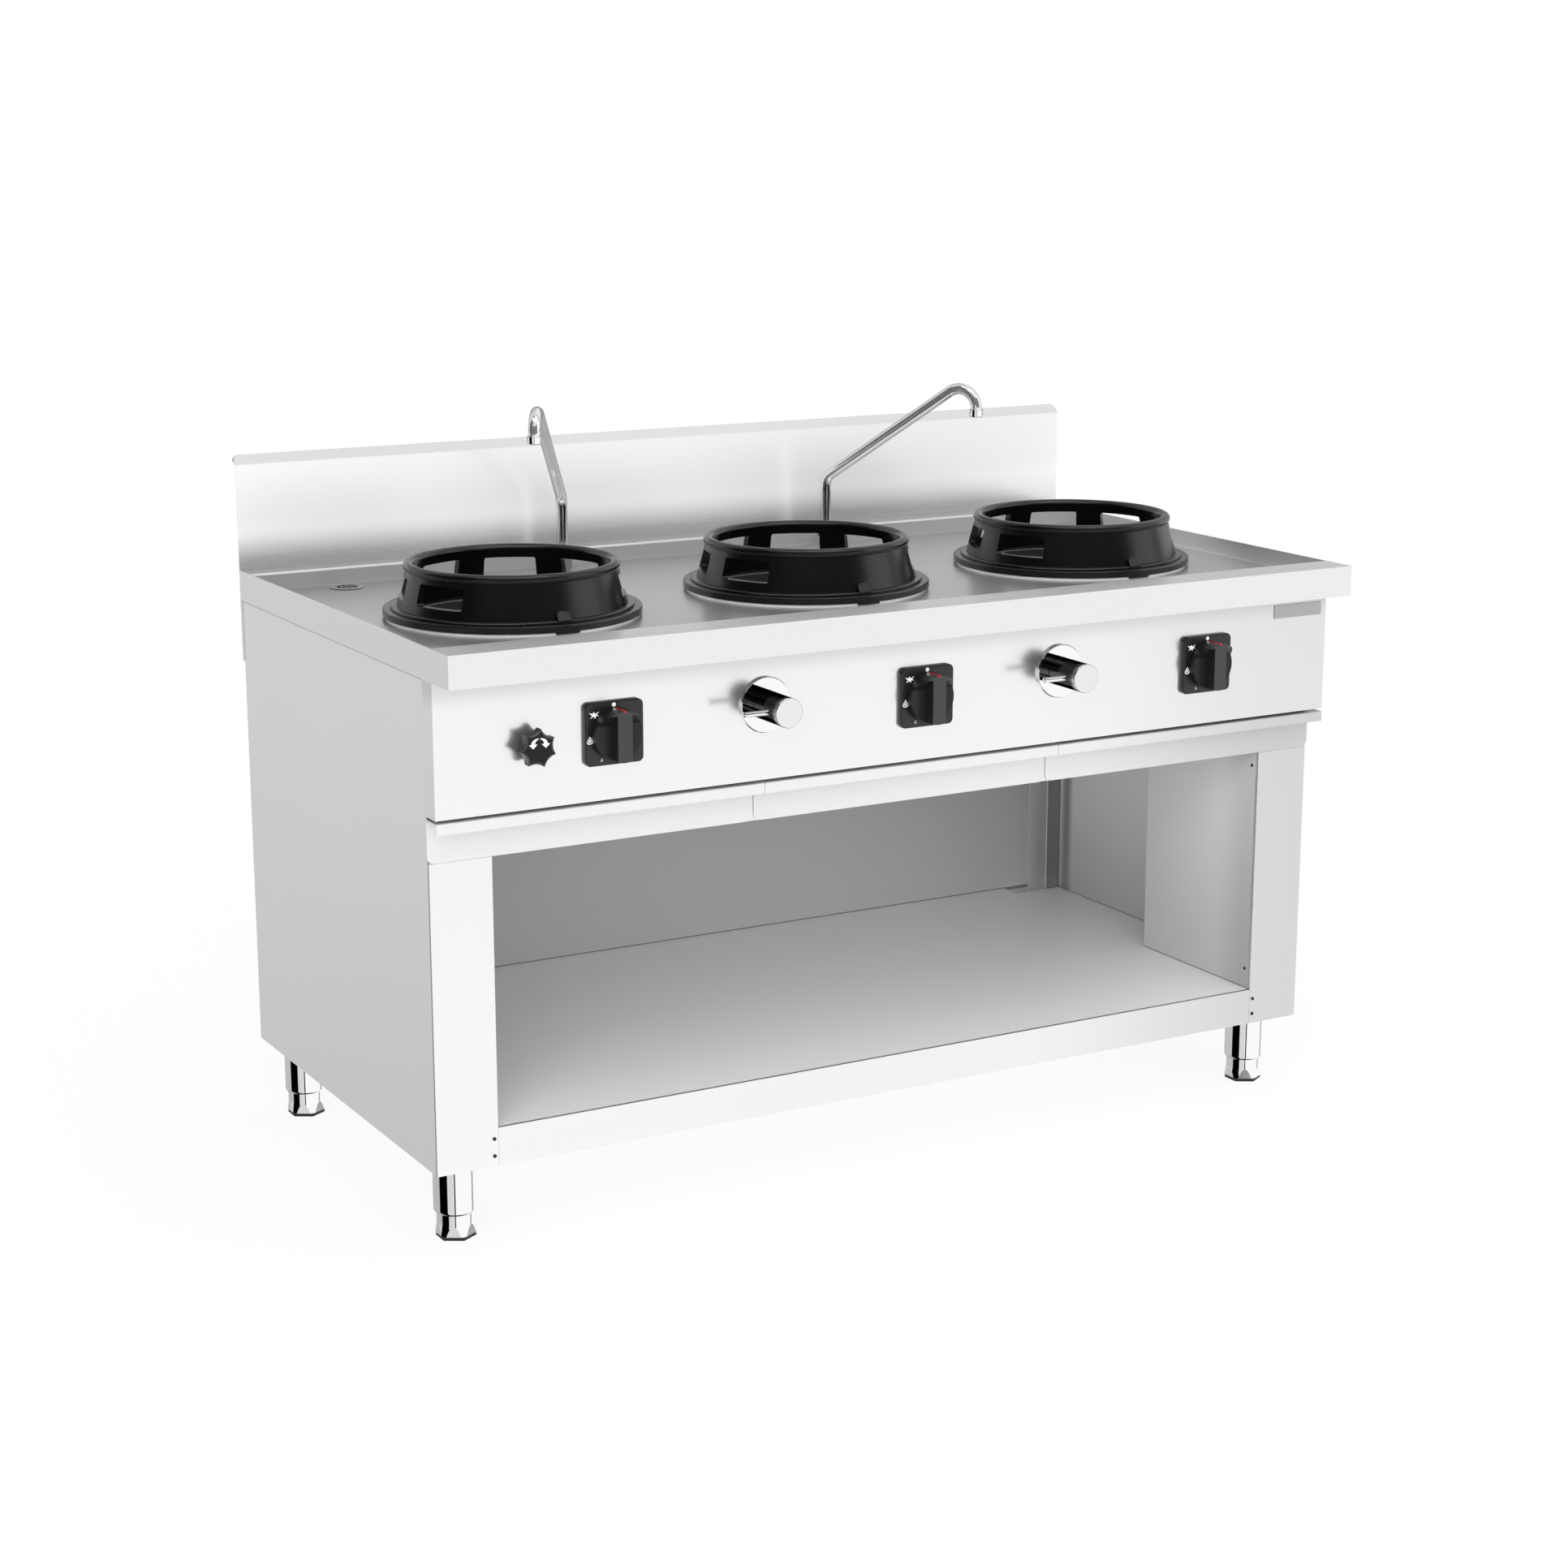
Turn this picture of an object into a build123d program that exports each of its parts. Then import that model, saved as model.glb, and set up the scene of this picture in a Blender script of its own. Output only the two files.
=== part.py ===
"""Three-burner wok range on an open stand, as separate pieces in one frame.

Millimetres, +Z up. The range faces -Y and the origin is on the floor, below the middle of the range.
"""

import os
from math import cos, radians, sin, tan

from build123d import *

os.makedirs("parts", exist_ok=True)

# ---- Driving dimensions -------------------------------------------------------------------------

width = 1500.0              # across the worktop
depth = 800.0               # from the worktop's front edge to the splashback's rear face
rim_height = 860.0          # from the floor to the worktop's rim
sheet = 1.5                 # stainless sheet of the body
top_sheet = 2.0             # stainless sheet of the worktop
gap = 0.3                   # between pieces that move apart
fit = 0.05                  # radial clearance of a spindle in its bore

skirt_height = 46.0         # worktop's front skirt
front_ledge = 60.0
rear_ledge = 45.0
recess_depth = 26.0         # of the pan below the rim
recess_slope = 6.0          # how far the pan's front wall leans
side_inset = 3.0            # body sides inside the worktop's sides

splash_height = 160.0       # upright face above the rim
splash_flange = 140.0       # part of the splashback that runs down behind the body
lip_height = 14.0
lip_lean = 11.5
lip_hem = 10.0
lip_corner = 8.0

leg_height = 115.0          # floor to the body's underside
body_front = 90.0           # body's front plane behind the worktop's front edge
panel_proud = 33.0          # control panel in front of the body's front plane
panel_bottom = 233.0        # below the rim
band_bottom = 300.0         # underside of the tray fronts, below the rim
tray_reveal = 6.0           # dark gap between the control panel and the tray fronts
tray_lip = 14.0             # height of each tray's forward lip
tray_seam = 1.3
tray_depth = 508.0
tray_wall = 38.0
tray_side = 15.0            # from a tray front's end to its pan's side
tray_corner = 10.0
tray_rise = 15.0            # tray pans above the underside of their fronts
frame_bar = 20.0            # width of the bars that the trays slide on
frame_sheet = 3.0
panel_return = 20.0         # upturned rear edge of the control panel

post_width = 92.0
post_depth = 285.0
post_return = 78.0
shelf_height = 56.0         # shelf's top above the body's underside
rail_width = 58.0           # the side rails that stand on the legs
rail_height = 30.0
rail_sheet = 2.0
angle_leg = 40.0            # rear corner angles
angle_sheet = 2.5

burner_draw = 12.0          # burners stand this much closer together than thirds of the width
burner_y = -25.0
pan_hole = 157.0            # radius of each burner hole in the pan
collar_outer = 183.0        # radii and heights of the bright collar under each ring
collar_height = 4.5
collar_edge = 1.0

ring_flange = 187.0         # wok ring: outer radii of the flange, foot bead, cone foot, neck and rim
ring_bead = 176.0
ring_foot = 167.0
ring_neck = 153.6
ring_rim = 156.0
ring_mouth = 140.6
ring_flange_height = 10.0
ring_edge = 2.5             # rounding of the flange and of the bead
bead_height = 4.0           # bead round the cone's foot, above the flange
ring_height = 81.0          # rim's top above the pan
rim_bead = 12.0             # height of the rounded rim
rim_shoulder = 3.0
rim_fall = 0.6
ring_wall = 11.0
window_angle = 30.0         # each window's width as an angle
window_pitch = 46.0
window_count = 6
window_low = 31.0           # window's lower and upper edges above the pan
window_high = 61.5
window_corner = 3.0
lug_width = 20.0            # index lug on the cone's foot, at the front
lug_reach = 9.0
lug_height = 12.0
lug_round = 8.0
hook_width = 36.0           # hook under the flange, in front of the collar
hook_drop = 3.0

bowl_flange = 170.0         # burner bowl: radii and depth
bowl_mouth = 148.0
bowl_foot = 110.0
bowl_hole = 60.0
bowl_depth = 88.0
head_radius = 72.0          # burner head
head_top = 48.0             # below the pan
head_height = 24.0
head_foot = 18.0
head_bevel = 12.0
head_dish = 4.0
port_count = 16
port_circle = 50.0
port_radius = 2.5
port_depth = 10.0
venturi_radius = 14.0
venturi_reach = 100.0       # from the burner's axis to the mouth of its gas throat
throat_depth = 20.0
pipe_short = 2.0            # gas pipes end this far before the bottom of the throat
bracket_width = 40.0
bracket_inset = 10.0
bracket_sheet = 3.0
pilot_radius = 5.0
pilot_hood = 7.5
pilot_place = 90.0
pilot_turn = 40.0
pilot_tip = 12.0

gas_spread = 2.0            # gas knobs stand this much further apart than thirds of the width
gas_offset = 15.0
gas_level = 139.0           # below the rim
plate_size = 88.0
plate_thick = 8.0
plate_corner = 8.0
plate_edge = 2.0
knob_radius = 36.0
knob_skirt = 10.0           # depth of the knob's floor either side of its bar
knob_bar = 22.0
knob_depth = 29.0
knob_shoulder = 14.0        # where the floor starts to rise to the top of the bar
knob_crown = 31.0           # where that rise reaches the face of the bar
knob_edge = 1.2
hole_play = 2.0             # radial room round a spindle in the sheet and in its plate
push = 3.0                  # travel of a gas knob before it turns
knob_stand = 0.5            # room left behind a pushed knob
stem_radius = 4.0
valve_size = 42.0
valve_depth = 46.0
manifold_radius = 12.0
gas_thread = 13.2           # radii of the threaded ends that stand out behind
manifold_end = 40.0         # past the first gas valve
manifold_bend = 40.0
gas_pipe_radius = 6.0
pipe_bend = 20.0            # bend radius of the thin gas and water pipes
valve_sink = 24.0           # how far a spindle goes into its valve

tap_draw = 1.0              # taps stand this much inside sixths of the width
tap_level = 125.0           # below the rim
rosette_radius = 40.0
rosette_thick = 5.0
rosette_stand = 1.0         # tap handles in front of their rosettes
handle_radius = 21.5
handle_length = 64.0
handle_edge = 1.5
lever_radius = 4.0
lever_reach = 40.0
lever_back = 20.0           # lever behind the handle's end
spindle_radius = 6.0
tap_valve_radius = 15.0
tap_valve_depth = 50.0
water_pipe_radius = 8.0
feed_radius = 9.4
water_thread = 10.4

star_side = 141.0           # star knob of the rinse water valve, inside the worktop's side
star_level = 144.5
star_radius = 27.0
star_waist = 21.0
star_thick = 15.0
star_stand = 27.0           # its face in front of the panel
star_points = 7
star_turn = 82.0            # degrees from level to its first point
star_edge = 1.0

spout_draw = 9.0            # spouts stand this much inside sixths of the width
spout_back = 70.0           # from their axes to the splashback's rear face
spout_radius = 8.7
spout_bore = 6.7
spout_rise = 112.0          # pan to the first bend
spout_slope = 33.5          # degrees above level
spout_reach = 282.0         # pivot to the nozzle's axis
crook_radius = 31.0
bend_radius = 26.0
nozzle_length = 12.0
nozzle_radius = 10.6
nozzle_edge = 1.0
nozzle_sink = 4.0           # how far the nozzle's end is bored
nut_radius = 15.5
nut_height = 16.0
shank_radius = 12.0
shank_length = 26.0
spout_step = 11.0           # ledge in the nut that the tube stands on, above its shank's end
left_spout_turn = 237.0     # degrees from +X, seen from above
right_spout_turn = 298.0

drain_side = 141.0          # drain inside the worktop's side and in front of the splashback's rear face
drain_back = 82.0
drain_radius = 22.0
drain_flange = 26.0
drain_sheet = 1.2
drain_holes = 8
drain_circle = 13.0
drain_hole = 3.0
drain_drop = 190.0          # drain outlet below the rim
drain_pipe = 20.0
drain_thread = 23.7
inlet_drop = 170.0          # gas and water inlets below the rim
inlet_side = 66.0           # inlets inside the worktop's side
outlet_stand = 13.0         # how far the connections' threads stand out behind
drain_neck = 12.0           # straight part of the drain below the pan

leg_place = 54.0            # legs inside the worktop's sides
front_leg = 62.0            # front legs behind the body's front plane
rear_leg = 55.0             # rear legs inside the rear face
leg_radius = 31.0
sleeve_length = 78.0        # bright outer sleeve of each leg
sleeve_lip = 6.0            # height of the rounded end of the sleeve
foot_radius = 27.0
foot_wall = 3.0
foot_grip = 32.0            # of the foot's tube inside the sleeve when it is screwed right out
foot_round = 21.0           # height above the floor at which the tube starts to flare
foot_flare = 29.0           # radius of the flared end, before its flats
pad_height = 5.5
pad_lip = 1.5               # height of the thin edges above and below the pad's groove
pad_inset = 0.8
foot_travel = 30.0

screw_radius = 2.6
screw_head = 1.2
screw_inset = 6.0           # screws of the shelf, inside the post's inner edge
screw_pitch = 25.0
wall_screw_inset = 15.0     # screws on the post's inner face, behind its front
wall_screw_top = 24.0
wall_screw_foot = 32.0
bolt_radius = 6.0
bolt_head = 5.0
bolt_drop = 60.0

# ---- Levels and planes that follow from them ----------------------------------------------------

front = -depth / 2
rear = depth / 2
side = width / 2
skirt_level = rim_height - skirt_height
pan_level = rim_height - recess_depth
pan_under = pan_level - top_sheet
body_level = leg_height
body_side = side - side_inset
inner_side = body_side - sheet
body_y = front + body_front
panel_y = body_y - panel_proud
panel_level = rim_height - panel_bottom
band_level = rim_height - band_bottom
back_y = rear - sheet - sheet           # front face of the back panel
post_x = body_side - post_width
post_rear = body_y + post_depth
shelf_level = body_level + shelf_height
tray_top = panel_level - tray_reveal
tray_floor = band_level + tray_rise
gas_z = rim_height - gas_level
tap_z = rim_height - tap_level
star_z = rim_height - star_level
spout_z = pan_level + spout_rise
spout_y = rear - spout_back
drain_x = drain_side - side
drain_y = rear - drain_back
star_x = star_side - side
burner_pitch = width / 3 - burner_draw
gas_pitch = width / 3 + gas_spread
tap_place = width / 6 - tap_draw
spout_place = width / 6 - spout_draw
inlet_z = rim_height - inlet_drop
drain_z = rim_height - drain_drop
burners = [(i * burner_pitch, burner_y) for i in (-1, 0, 1)]
gas_places = [gas_offset + i * gas_pitch for i in (-1, 0, 1)]
tray_width = width / 3 - tray_seam
trays = [i * width / 3 for i in (-1, 0, 1)]
names = ("left", "middle", "right")
legs = {
    "front_left": (-side + leg_place, body_y + front_leg),
    "front_right": (side - leg_place, body_y + front_leg),
    "rear_left": (-side + leg_place, rear - rear_leg),
    "rear_right": (side - leg_place, rear - rear_leg),
}


def save(part, name):
    """Label a finished piece and write it to its own file."""
    part.label = name
    export_step(part, f"parts/{name}.step")


def block(x, y, z, mode=Mode.ADD):
    """A box between two limits on each axis, in the part being built."""
    with Locations(((x[0] + x[1]) / 2, (y[0] + y[1]) / 2, (z[0] + z[1]) / 2)):
        Box(x[1] - x[0], y[1] - y[0], z[1] - z[0], mode=mode)


def rod(start, end, radius, mode=Mode.ADD):
    """A round bar from one point to another, in the part being built."""
    axis = Vector(*end) - Vector(*start)
    with BuildSketch(Plane(origin=start, z_dir=axis)) as disc:
        Circle(radius)
    extrude(disc.sketch, amount=axis.length, mode=mode)


def folded(plane, points, thickness, turn_side):
    """The section of a folded sheet: the outer line of its folds and the side its thickness lies on."""
    with BuildSketch(plane) as section:
        with BuildLine():
            Polyline(*points)
            offset(amount=thickness, side=turn_side)
        make_face()
    return section.sketch


def bent_tube(points, radius, bend):
    """A tube along straight runs joined by round bends, in the part being built."""
    with BuildLine() as route:
        FilletPolyline(*points, radius=bend)
    with BuildSketch(Plane(origin=route.line @ 0, z_dir=route.line % 0)) as bar:
        Circle(radius)
    sweep(bar.sketch, path=route.line)


# ---- Worktop, splashback and body ---------------------------------------------------------------

with BuildPart() as worktop:
    section = folded(Plane.YZ, [
        (front, skirt_level), (front, rim_height), (front + front_ledge, rim_height),
        (front + front_ledge + recess_slope, pan_level), (rear - sheet - rear_ledge, pan_level),
        (rear - sheet - rear_ledge, rim_height), (rear - sheet, rim_height), (rear - sheet, skirt_level),
    ], top_sheet, Side.RIGHT)
    extrude(section, amount=side, both=True)
    for x in (-side, side - top_sheet):
        block((x, x + top_sheet), (front, rear - sheet), (skirt_level, rim_height))
    with Locations(*[(x, y, pan_level) for x, y in burners]):
        Hole(pan_hole, depth=top_sheet * 2)
    with Locations(*[(x, spout_y, pan_level) for x in (-spout_place, spout_place)]):
        Hole(shank_radius + gap, depth=top_sheet * 2)
    with Locations((drain_x, drain_y, pan_level)):
        Hole(drain_radius, depth=top_sheet * 2)
save(worktop.part, "worktop")

with BuildPart() as splashback:
    face_y = rear - sheet
    hem_y = face_y + lip_lean + sheet
    top = rim_height + splash_height
    section = folded(Plane.YZ, [
        (face_y, rim_height - splash_flange), (face_y, top), (hem_y - sheet, top + lip_height),
        (hem_y, top + lip_height), (hem_y, top + lip_height - lip_hem),
    ], sheet, Side.RIGHT)
    extrude(section, amount=side, both=True)
    with BuildSketch(Plane.XZ.offset(-rear - lip_lean - sheet)) as outline:
        with Locations((0, top + lip_height - splash_height)):
            Rectangle(width, 2 * splash_height)
        fillet(outline.vertices().group_by(Axis.Z)[-1], lip_corner)
        with Locations((0, rim_height - splash_flange / 2)):
            Rectangle(width, splash_flange)
    extrude(amount=depth / 4, mode=Mode.INTERSECT)
save(splashback.part, "splashback")

for name, hand in (("side_panel_left", -1), ("side_panel_right", 1)):
    with BuildPart() as panel:
        block(sorted((hand * body_side, hand * inner_side)), (body_y + sheet, back_y),
              (body_level, skirt_level))
    save(panel.part, name)

with BuildPart() as back_panel:
    block((-body_side, body_side), (back_y, rear - sheet), (body_level, skirt_level))
    for x, z, radius in ((side - inlet_side, inlet_z, gas_thread), (inlet_side - side, inlet_z, water_thread),
                         (drain_x, drain_z, drain_thread)):
        rod((x, back_y - sheet, z), (x, rear, z), radius + gap, Mode.SUBTRACT)
save(back_panel.part, "back_panel")

for name, hand in (("post_left", -1), ("post_right", 1)):
    with BuildPart() as post:
        section = folded(Plane.XY.offset(body_level), [
            (hand * body_side, body_y), (hand * post_x, body_y), (hand * post_x, post_rear),
            (hand * (post_x + post_return), post_rear),
        ], sheet, Side.LEFT if hand < 0 else Side.RIGHT)
        extrude(section, amount=band_level - body_level - gap)
        middle = hand * (side - leg_place)
        block((middle - rail_width / 2 - gap, middle + rail_width / 2 + gap),
              (post_rear - 2 * sheet, post_rear + sheet), (body_level, body_level + rail_height + gap),
              Mode.SUBTRACT)
    save(post.part, name)

with BuildPart() as rear_angles:
    for hand in (-1, 1):
        section = folded(Plane.XY.offset(body_level + rail_height), [
            (hand * inner_side, back_y - angle_leg), (hand * inner_side, back_y),
            (hand * (inner_side - angle_leg), back_y),
        ], angle_sheet, Side.RIGHT if hand < 0 else Side.LEFT)
        extrude(section, amount=skirt_level - body_level - rail_height)
save(rear_angles.part, "rear_angles")

with BuildPart() as side_rails:
    for hand in (-1, 1):
        middle = hand * (side - leg_place)
        section = folded(Plane.XZ.offset(-body_y - sheet), [
            (middle - rail_width / 2, body_level), (middle - rail_width / 2, body_level + rail_height),
            (middle + rail_width / 2, body_level + rail_height), (middle + rail_width / 2, body_level),
        ], rail_sheet, Side.RIGHT)
        extrude(section, amount=-(back_y - body_y - sheet))
    for x, y in legs.values():
        block((x - rail_width / 2, x + rail_width / 2), (y - rail_width / 2, y + rail_width / 2),
              (body_level, body_level + rail_sheet))
save(side_rails.part, "side_rails")

with BuildPart() as undershelf:
    shelf_x = post_x - gap
    with BuildSketch(Plane.XY.offset(shelf_level)):
        with Locations((0, (body_y + back_y) / 2)):
            Rectangle(2 * shelf_x, back_y - body_y)
    extrude(amount=-sheet)
    for hand in (-1, 1):
        block(sorted((hand * shelf_x, hand * inner_side)), (post_rear, back_y - angle_leg),
              (shelf_level - sheet, shelf_level))
        block(sorted((hand * shelf_x, hand * (shelf_x - sheet))), (body_y, post_rear),
              (body_level, shelf_level))
    block((-shelf_x, shelf_x), (body_y, body_y + sheet), (body_level, shelf_level))
    block((-shelf_x, shelf_x), (back_y - sheet, back_y), (body_level, shelf_level))
save(undershelf.part, "undershelf")

# ---- Drip trays and their frame -----------------------------------------------------------------

with BuildPart() as tray_frame:
    rail_top = tray_floor - gap
    pan_half = tray_width / 2 - tray_side
    front_rail = body_y + sheet + gap
    rear_rail = body_y + tray_depth + frame_bar
    for y in (front_rail, rear_rail):
        block((-inner_side, inner_side), (y, y + frame_bar), (band_level, rail_top))
    for middle in trays:
        for x in (middle - pan_half, middle + pan_half - frame_bar):
            block((x, x + frame_bar), (front_rail, rear_rail + frame_bar), (rail_top - frame_sheet, rail_top))
save(tray_frame.part, "tray_frame")

for name, middle in zip(names, trays):
    with BuildPart() as tray:
        section = folded(Plane.YZ.offset(middle), [
            (body_y, band_level), (body_y, tray_top), (panel_y, tray_top), (panel_y, tray_top - tray_lip),
        ], sheet, Side.RIGHT)
        extrude(section, amount=tray_width / 2, both=True)
        corners = tray.edges().filter_by(Axis.Y).group_by(Axis.Z)[0]
        fillet(corners.filter_by(lambda edge: edge.length < 2 * sheet), tray_corner)
        with BuildSketch(Plane.XY.offset(tray_floor)):
            with Locations((middle, body_y + tray_depth / 2)):
                Rectangle(2 * pan_half, tray_depth)
        extrude(amount=sheet)
        walls = ((middle - pan_half, body_y), (middle - pan_half, body_y + tray_depth),
                 (middle + pan_half, body_y + tray_depth), (middle + pan_half, body_y))
        extrude(folded(Plane.XY.offset(tray_floor), walls, sheet, Side.RIGHT), amount=tray_wall)
    save(tray.part, f"drip_tray_{name}")

# ---- Control panel ------------------------------------------------------------------------------

with BuildPart() as control_panel:
    inner_end = side - top_sheet - gap
    stem_hole = stem_radius + hole_play
    spindle_hole = spindle_radius + hole_play
    block((-side, side), (panel_y, panel_y + sheet), (panel_level, skirt_level))
    block((-inner_end, inner_end), (panel_y, panel_y + sheet), (skirt_level, pan_under))
    for x in (-side, side - sheet):
        block((x, x + sheet), (panel_y, body_y), (panel_level, skirt_level))
    block((-side, side), (panel_y, body_y), (panel_level, panel_level + sheet))
    block((-side, side), (body_y - sheet, body_y), (panel_level, panel_level + panel_return))
    holes = [(x, gas_z, stem_hole) for x in gas_places]
    holes += [(x, tap_z, spindle_hole) for x in (-tap_place, tap_place)]
    holes += [(star_x, star_z, spindle_hole)]
    for x, z, radius in holes:
        rod((x, panel_y - sheet, z), (x, panel_y + 2 * sheet, z), radius, Mode.SUBTRACT)
save(control_panel.part, "control_panel")

with BuildPart() as gas_plates:
    for x in gas_places:
        with BuildSketch(Plane.XZ.offset(-panel_y)):
            with Locations((x, gas_z)):
                RectangleRounded(plate_size, plate_size, plate_corner)
                Circle(stem_hole, mode=Mode.SUBTRACT)
    extrude(amount=plate_thick)
    faces = gas_plates.faces().filter_by(Axis.Y).group_by(Axis.Y)[0]
    fillet([edge for face in faces for edge in face.outer_wire().edges()], plate_edge)
save(gas_plates.part, "gas_plates")

plate_face = panel_y - plate_thick
knob_back = plate_face - push - knob_stand
valve_face = panel_y + sheet
for name, x in zip(names, gas_places):
    with BuildPart() as stem:
        rod((x, knob_back - knob_depth / 2, gas_z), (x, valve_face + valve_sink, gas_z), stem_radius)
    save(stem.part, f"gas_stem_{name}")

    with BuildPart() as knob:
        with BuildSketch(Plane.XZ.offset(-knob_back)):
            with Locations((x, gas_z)):
                Circle(knob_radius)
        extrude(amount=knob_depth)
        fillet(knob.edges().group_by(Axis.Y)[0], knob_edge)
        for hand in (-1, 1):
            with BuildSketch(Plane.YZ.offset(x + hand * knob_bar / 2)):
                with BuildLine():
                    floor_y = knob_back - knob_skirt
                    face_y = knob_back - knob_depth - knob_edge
                    Polyline((floor_y, gas_z - 2 * knob_radius), (floor_y, gas_z + knob_shoulder),
                             (face_y, gas_z + knob_crown), (face_y, gas_z - 2 * knob_radius), close=True)
                make_face()
            extrude(amount=hand * knob_radius, mode=Mode.SUBTRACT)
        rod((x, knob_back, gas_z), (x, knob_back - knob_depth / 2 - gap, gas_z), stem_radius + fit,
            Mode.SUBTRACT)
    save(knob.part, f"gas_knob_{name}")

with BuildPart() as tap_rosettes:
    for x in (-tap_place, tap_place):
        with BuildSketch(Plane.XZ.offset(-panel_y)):
            with Locations((x, tap_z)):
                Circle(rosette_radius)
                Circle(spindle_hole, mode=Mode.SUBTRACT)
        extrude(amount=rosette_thick)
    rims = tap_rosettes.faces().filter_by(Axis.Y).sort_by(Axis.Y)[:2].edges()
    chamfer(rims.filter_by(lambda edge: edge.radius > rosette_radius / 2), rosette_thick / 4)
save(tap_rosettes.part, "tap_rosettes")

for name, x in (("left", -tap_place), ("right", tap_place)):
    handle_back = panel_y - rosette_thick - rosette_stand
    handle_end = handle_back - handle_length
    with BuildPart() as handle:
        rod((x, handle_back, tap_z), (x, handle_end, tap_z), handle_radius)
        fillet(handle.faces().sort_by(Axis.Y)[0].edges(), handle_edge)
        rod((x, handle_back, tap_z), (x, panel_y + sheet + valve_sink, tap_z), spindle_radius)
        lever_y = handle_end + lever_back
        rod((x, lever_y, tap_z), (x - 2 * handle_radius, lever_y, tap_z), lever_radius, Mode.SUBTRACT)
    save(handle.part, f"tap_handle_{name}")

    with BuildPart() as lever:
        rod((x, lever_y, tap_z), (x - handle_radius - lever_reach, lever_y, tap_z), lever_radius)
        chamfer(lever.faces().sort_by(Axis.X)[0].edges(), lever_radius / 4)
    save(lever.part, f"tap_lever_{name}")

with BuildPart() as star_knob:
    star_back = panel_y - star_stand + star_thick
    with BuildSketch(Plane(origin=(star_x, star_back, star_z), x_dir=(1, 0, 0), z_dir=(0, -1, 0))):
        step = 360.0 / star_points
        rays = [radians(star_turn + i * step) for i in range(star_points)]
        clefts = [radians(star_turn + (i + 0.5) * step) for i in range(star_points)]
        tips = [(star_radius * cos(turn), star_radius * sin(turn)) for turn in rays]
        dips = [(star_waist * cos(turn), star_waist * sin(turn)) for turn in clefts]
        with BuildLine():
            for i, tip in enumerate(tips):
                ThreePointArc(tip, dips[i], tips[(i + 1) % star_points])
        make_face()
    extrude(amount=star_thick)
    chamfer(star_knob.faces().sort_by(Axis.Y)[0].edges(), star_edge)
    rod((star_x, star_back, star_z), (star_x, valve_face + valve_sink, star_z), spindle_radius)
save(star_knob.part, "star_knob")

# ---- Burners ------------------------------------------------------------------------------------

with BuildPart() as burner_collars:
    for x, y in burners:
        with BuildSketch(Plane(origin=(x, y, 0), x_dir=(1, 0, 0), z_dir=(0, -1, 0))):
            with BuildLine():
                Polyline((pan_hole, pan_level), (collar_outer, pan_level),
                         (collar_outer, pan_level + collar_height - collar_edge),
                         (collar_outer - collar_edge, pan_level + collar_height),
                         (pan_hole, pan_level + collar_height), close=True)
            make_face()
        revolve(axis=Axis((x, y, 0), (0, 0, 1)))
save(burner_collars.part, "burner_collars")

with BuildPart() as burner_bowls:
    bowl_level = pan_under - bowl_depth
    for x, y in burners:
        with BuildSketch(Plane(origin=(x, y, 0), x_dir=(1, 0, 0), z_dir=(0, -1, 0))):
            with BuildLine():
                Polyline((bowl_flange, pan_under), (bowl_mouth, pan_under), (bowl_foot, bowl_level),
                         (bowl_hole, bowl_level))
                offset(amount=sheet, side=Side.LEFT)
            make_face()
        revolve(axis=Axis((x, y, 0), (0, 0, 1)))
save(burner_bowls.part, "burner_bowls")

head_level = pan_level - head_top
throat_end = burner_y - venturi_reach
with BuildPart() as burner_heads:
    for x, y in burners:
        with BuildSketch(Plane(origin=(x, y, 0), x_dir=(1, 0, 0), z_dir=(0, -1, 0))):
            with BuildLine():
                Polyline((0, gas_z - venturi_radius), (venturi_radius, gas_z - venturi_radius),
                         (venturi_radius, bowl_level + head_foot), (head_radius, head_level - head_height),
                         (head_radius, head_level - head_bevel / 2), (head_radius - head_bevel, head_level),
                         (0, head_level - head_dish), close=True)
            make_face()
        revolve(axis=Axis((x, y, 0), (0, 0, 1)))
        rod((x, y, gas_z), (x, throat_end, gas_z), venturi_radius)
        rod((x, throat_end, gas_z), (x, throat_end + throat_depth, gas_z), gas_pipe_radius + gap,
            Mode.SUBTRACT)
        with Locations((x, y, head_level)):
            with PolarLocations(port_circle, port_count):
                Hole(port_radius, depth=port_depth)
save(burner_heads.part, "burner_heads")

with BuildPart() as burner_brackets:
    for x, y in burners:
        under = bowl_level - sheet
        half = bowl_foot - bracket_inset
        block((x - half, x + half), (y - bracket_width / 2, y + bracket_width / 2),
              (under - bracket_sheet, under))
        rod((x, y, under - 2 * bracket_sheet), (x, y, under), venturi_radius + gap, Mode.SUBTRACT)
save(burner_brackets.part, "burner_brackets")

with BuildPart() as pilot_burners:
    for x, y in burners:
        pilot_x = x + pilot_place * cos(radians(pilot_turn))
        pilot_y = y - pilot_place * sin(radians(pilot_turn))
        neck_z = head_level - pilot_tip
        rod((pilot_x, pilot_y, bowl_level), (pilot_x, pilot_y, neck_z), pilot_radius)
        rod((pilot_x, pilot_y, neck_z), (pilot_x, pilot_y, head_level), pilot_hood)
save(pilot_burners.part, "pilot_burners")

# ---- Wok rings ----------------------------------------------------------------------------------

seat = pan_level + collar_height + gap
flange_top = seat + ring_flange_height
cone_foot = flange_top + bead_height
crown = pan_level + ring_height
neck = crown - rim_bead

with BuildPart() as window:
    with BuildSketch(Plane.XY.offset(pan_level + window_low)):
        with BuildLine():
            half = radians(window_angle / 2)
            inside, outside = ring_mouth / 2, ring_flange
            Polyline((inside * cos(half), -inside * sin(half)), (outside * cos(half), -outside * sin(half)),
                     (outside * cos(half), outside * sin(half)), (inside * cos(half), inside * sin(half)),
                     close=True)
        make_face()
    extrude(amount=window_high - window_low)
    fillet(window.edges().filter_by(Axis.Z, reverse=True).filter_by(Axis.Y, reverse=True), window_corner)

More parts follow.
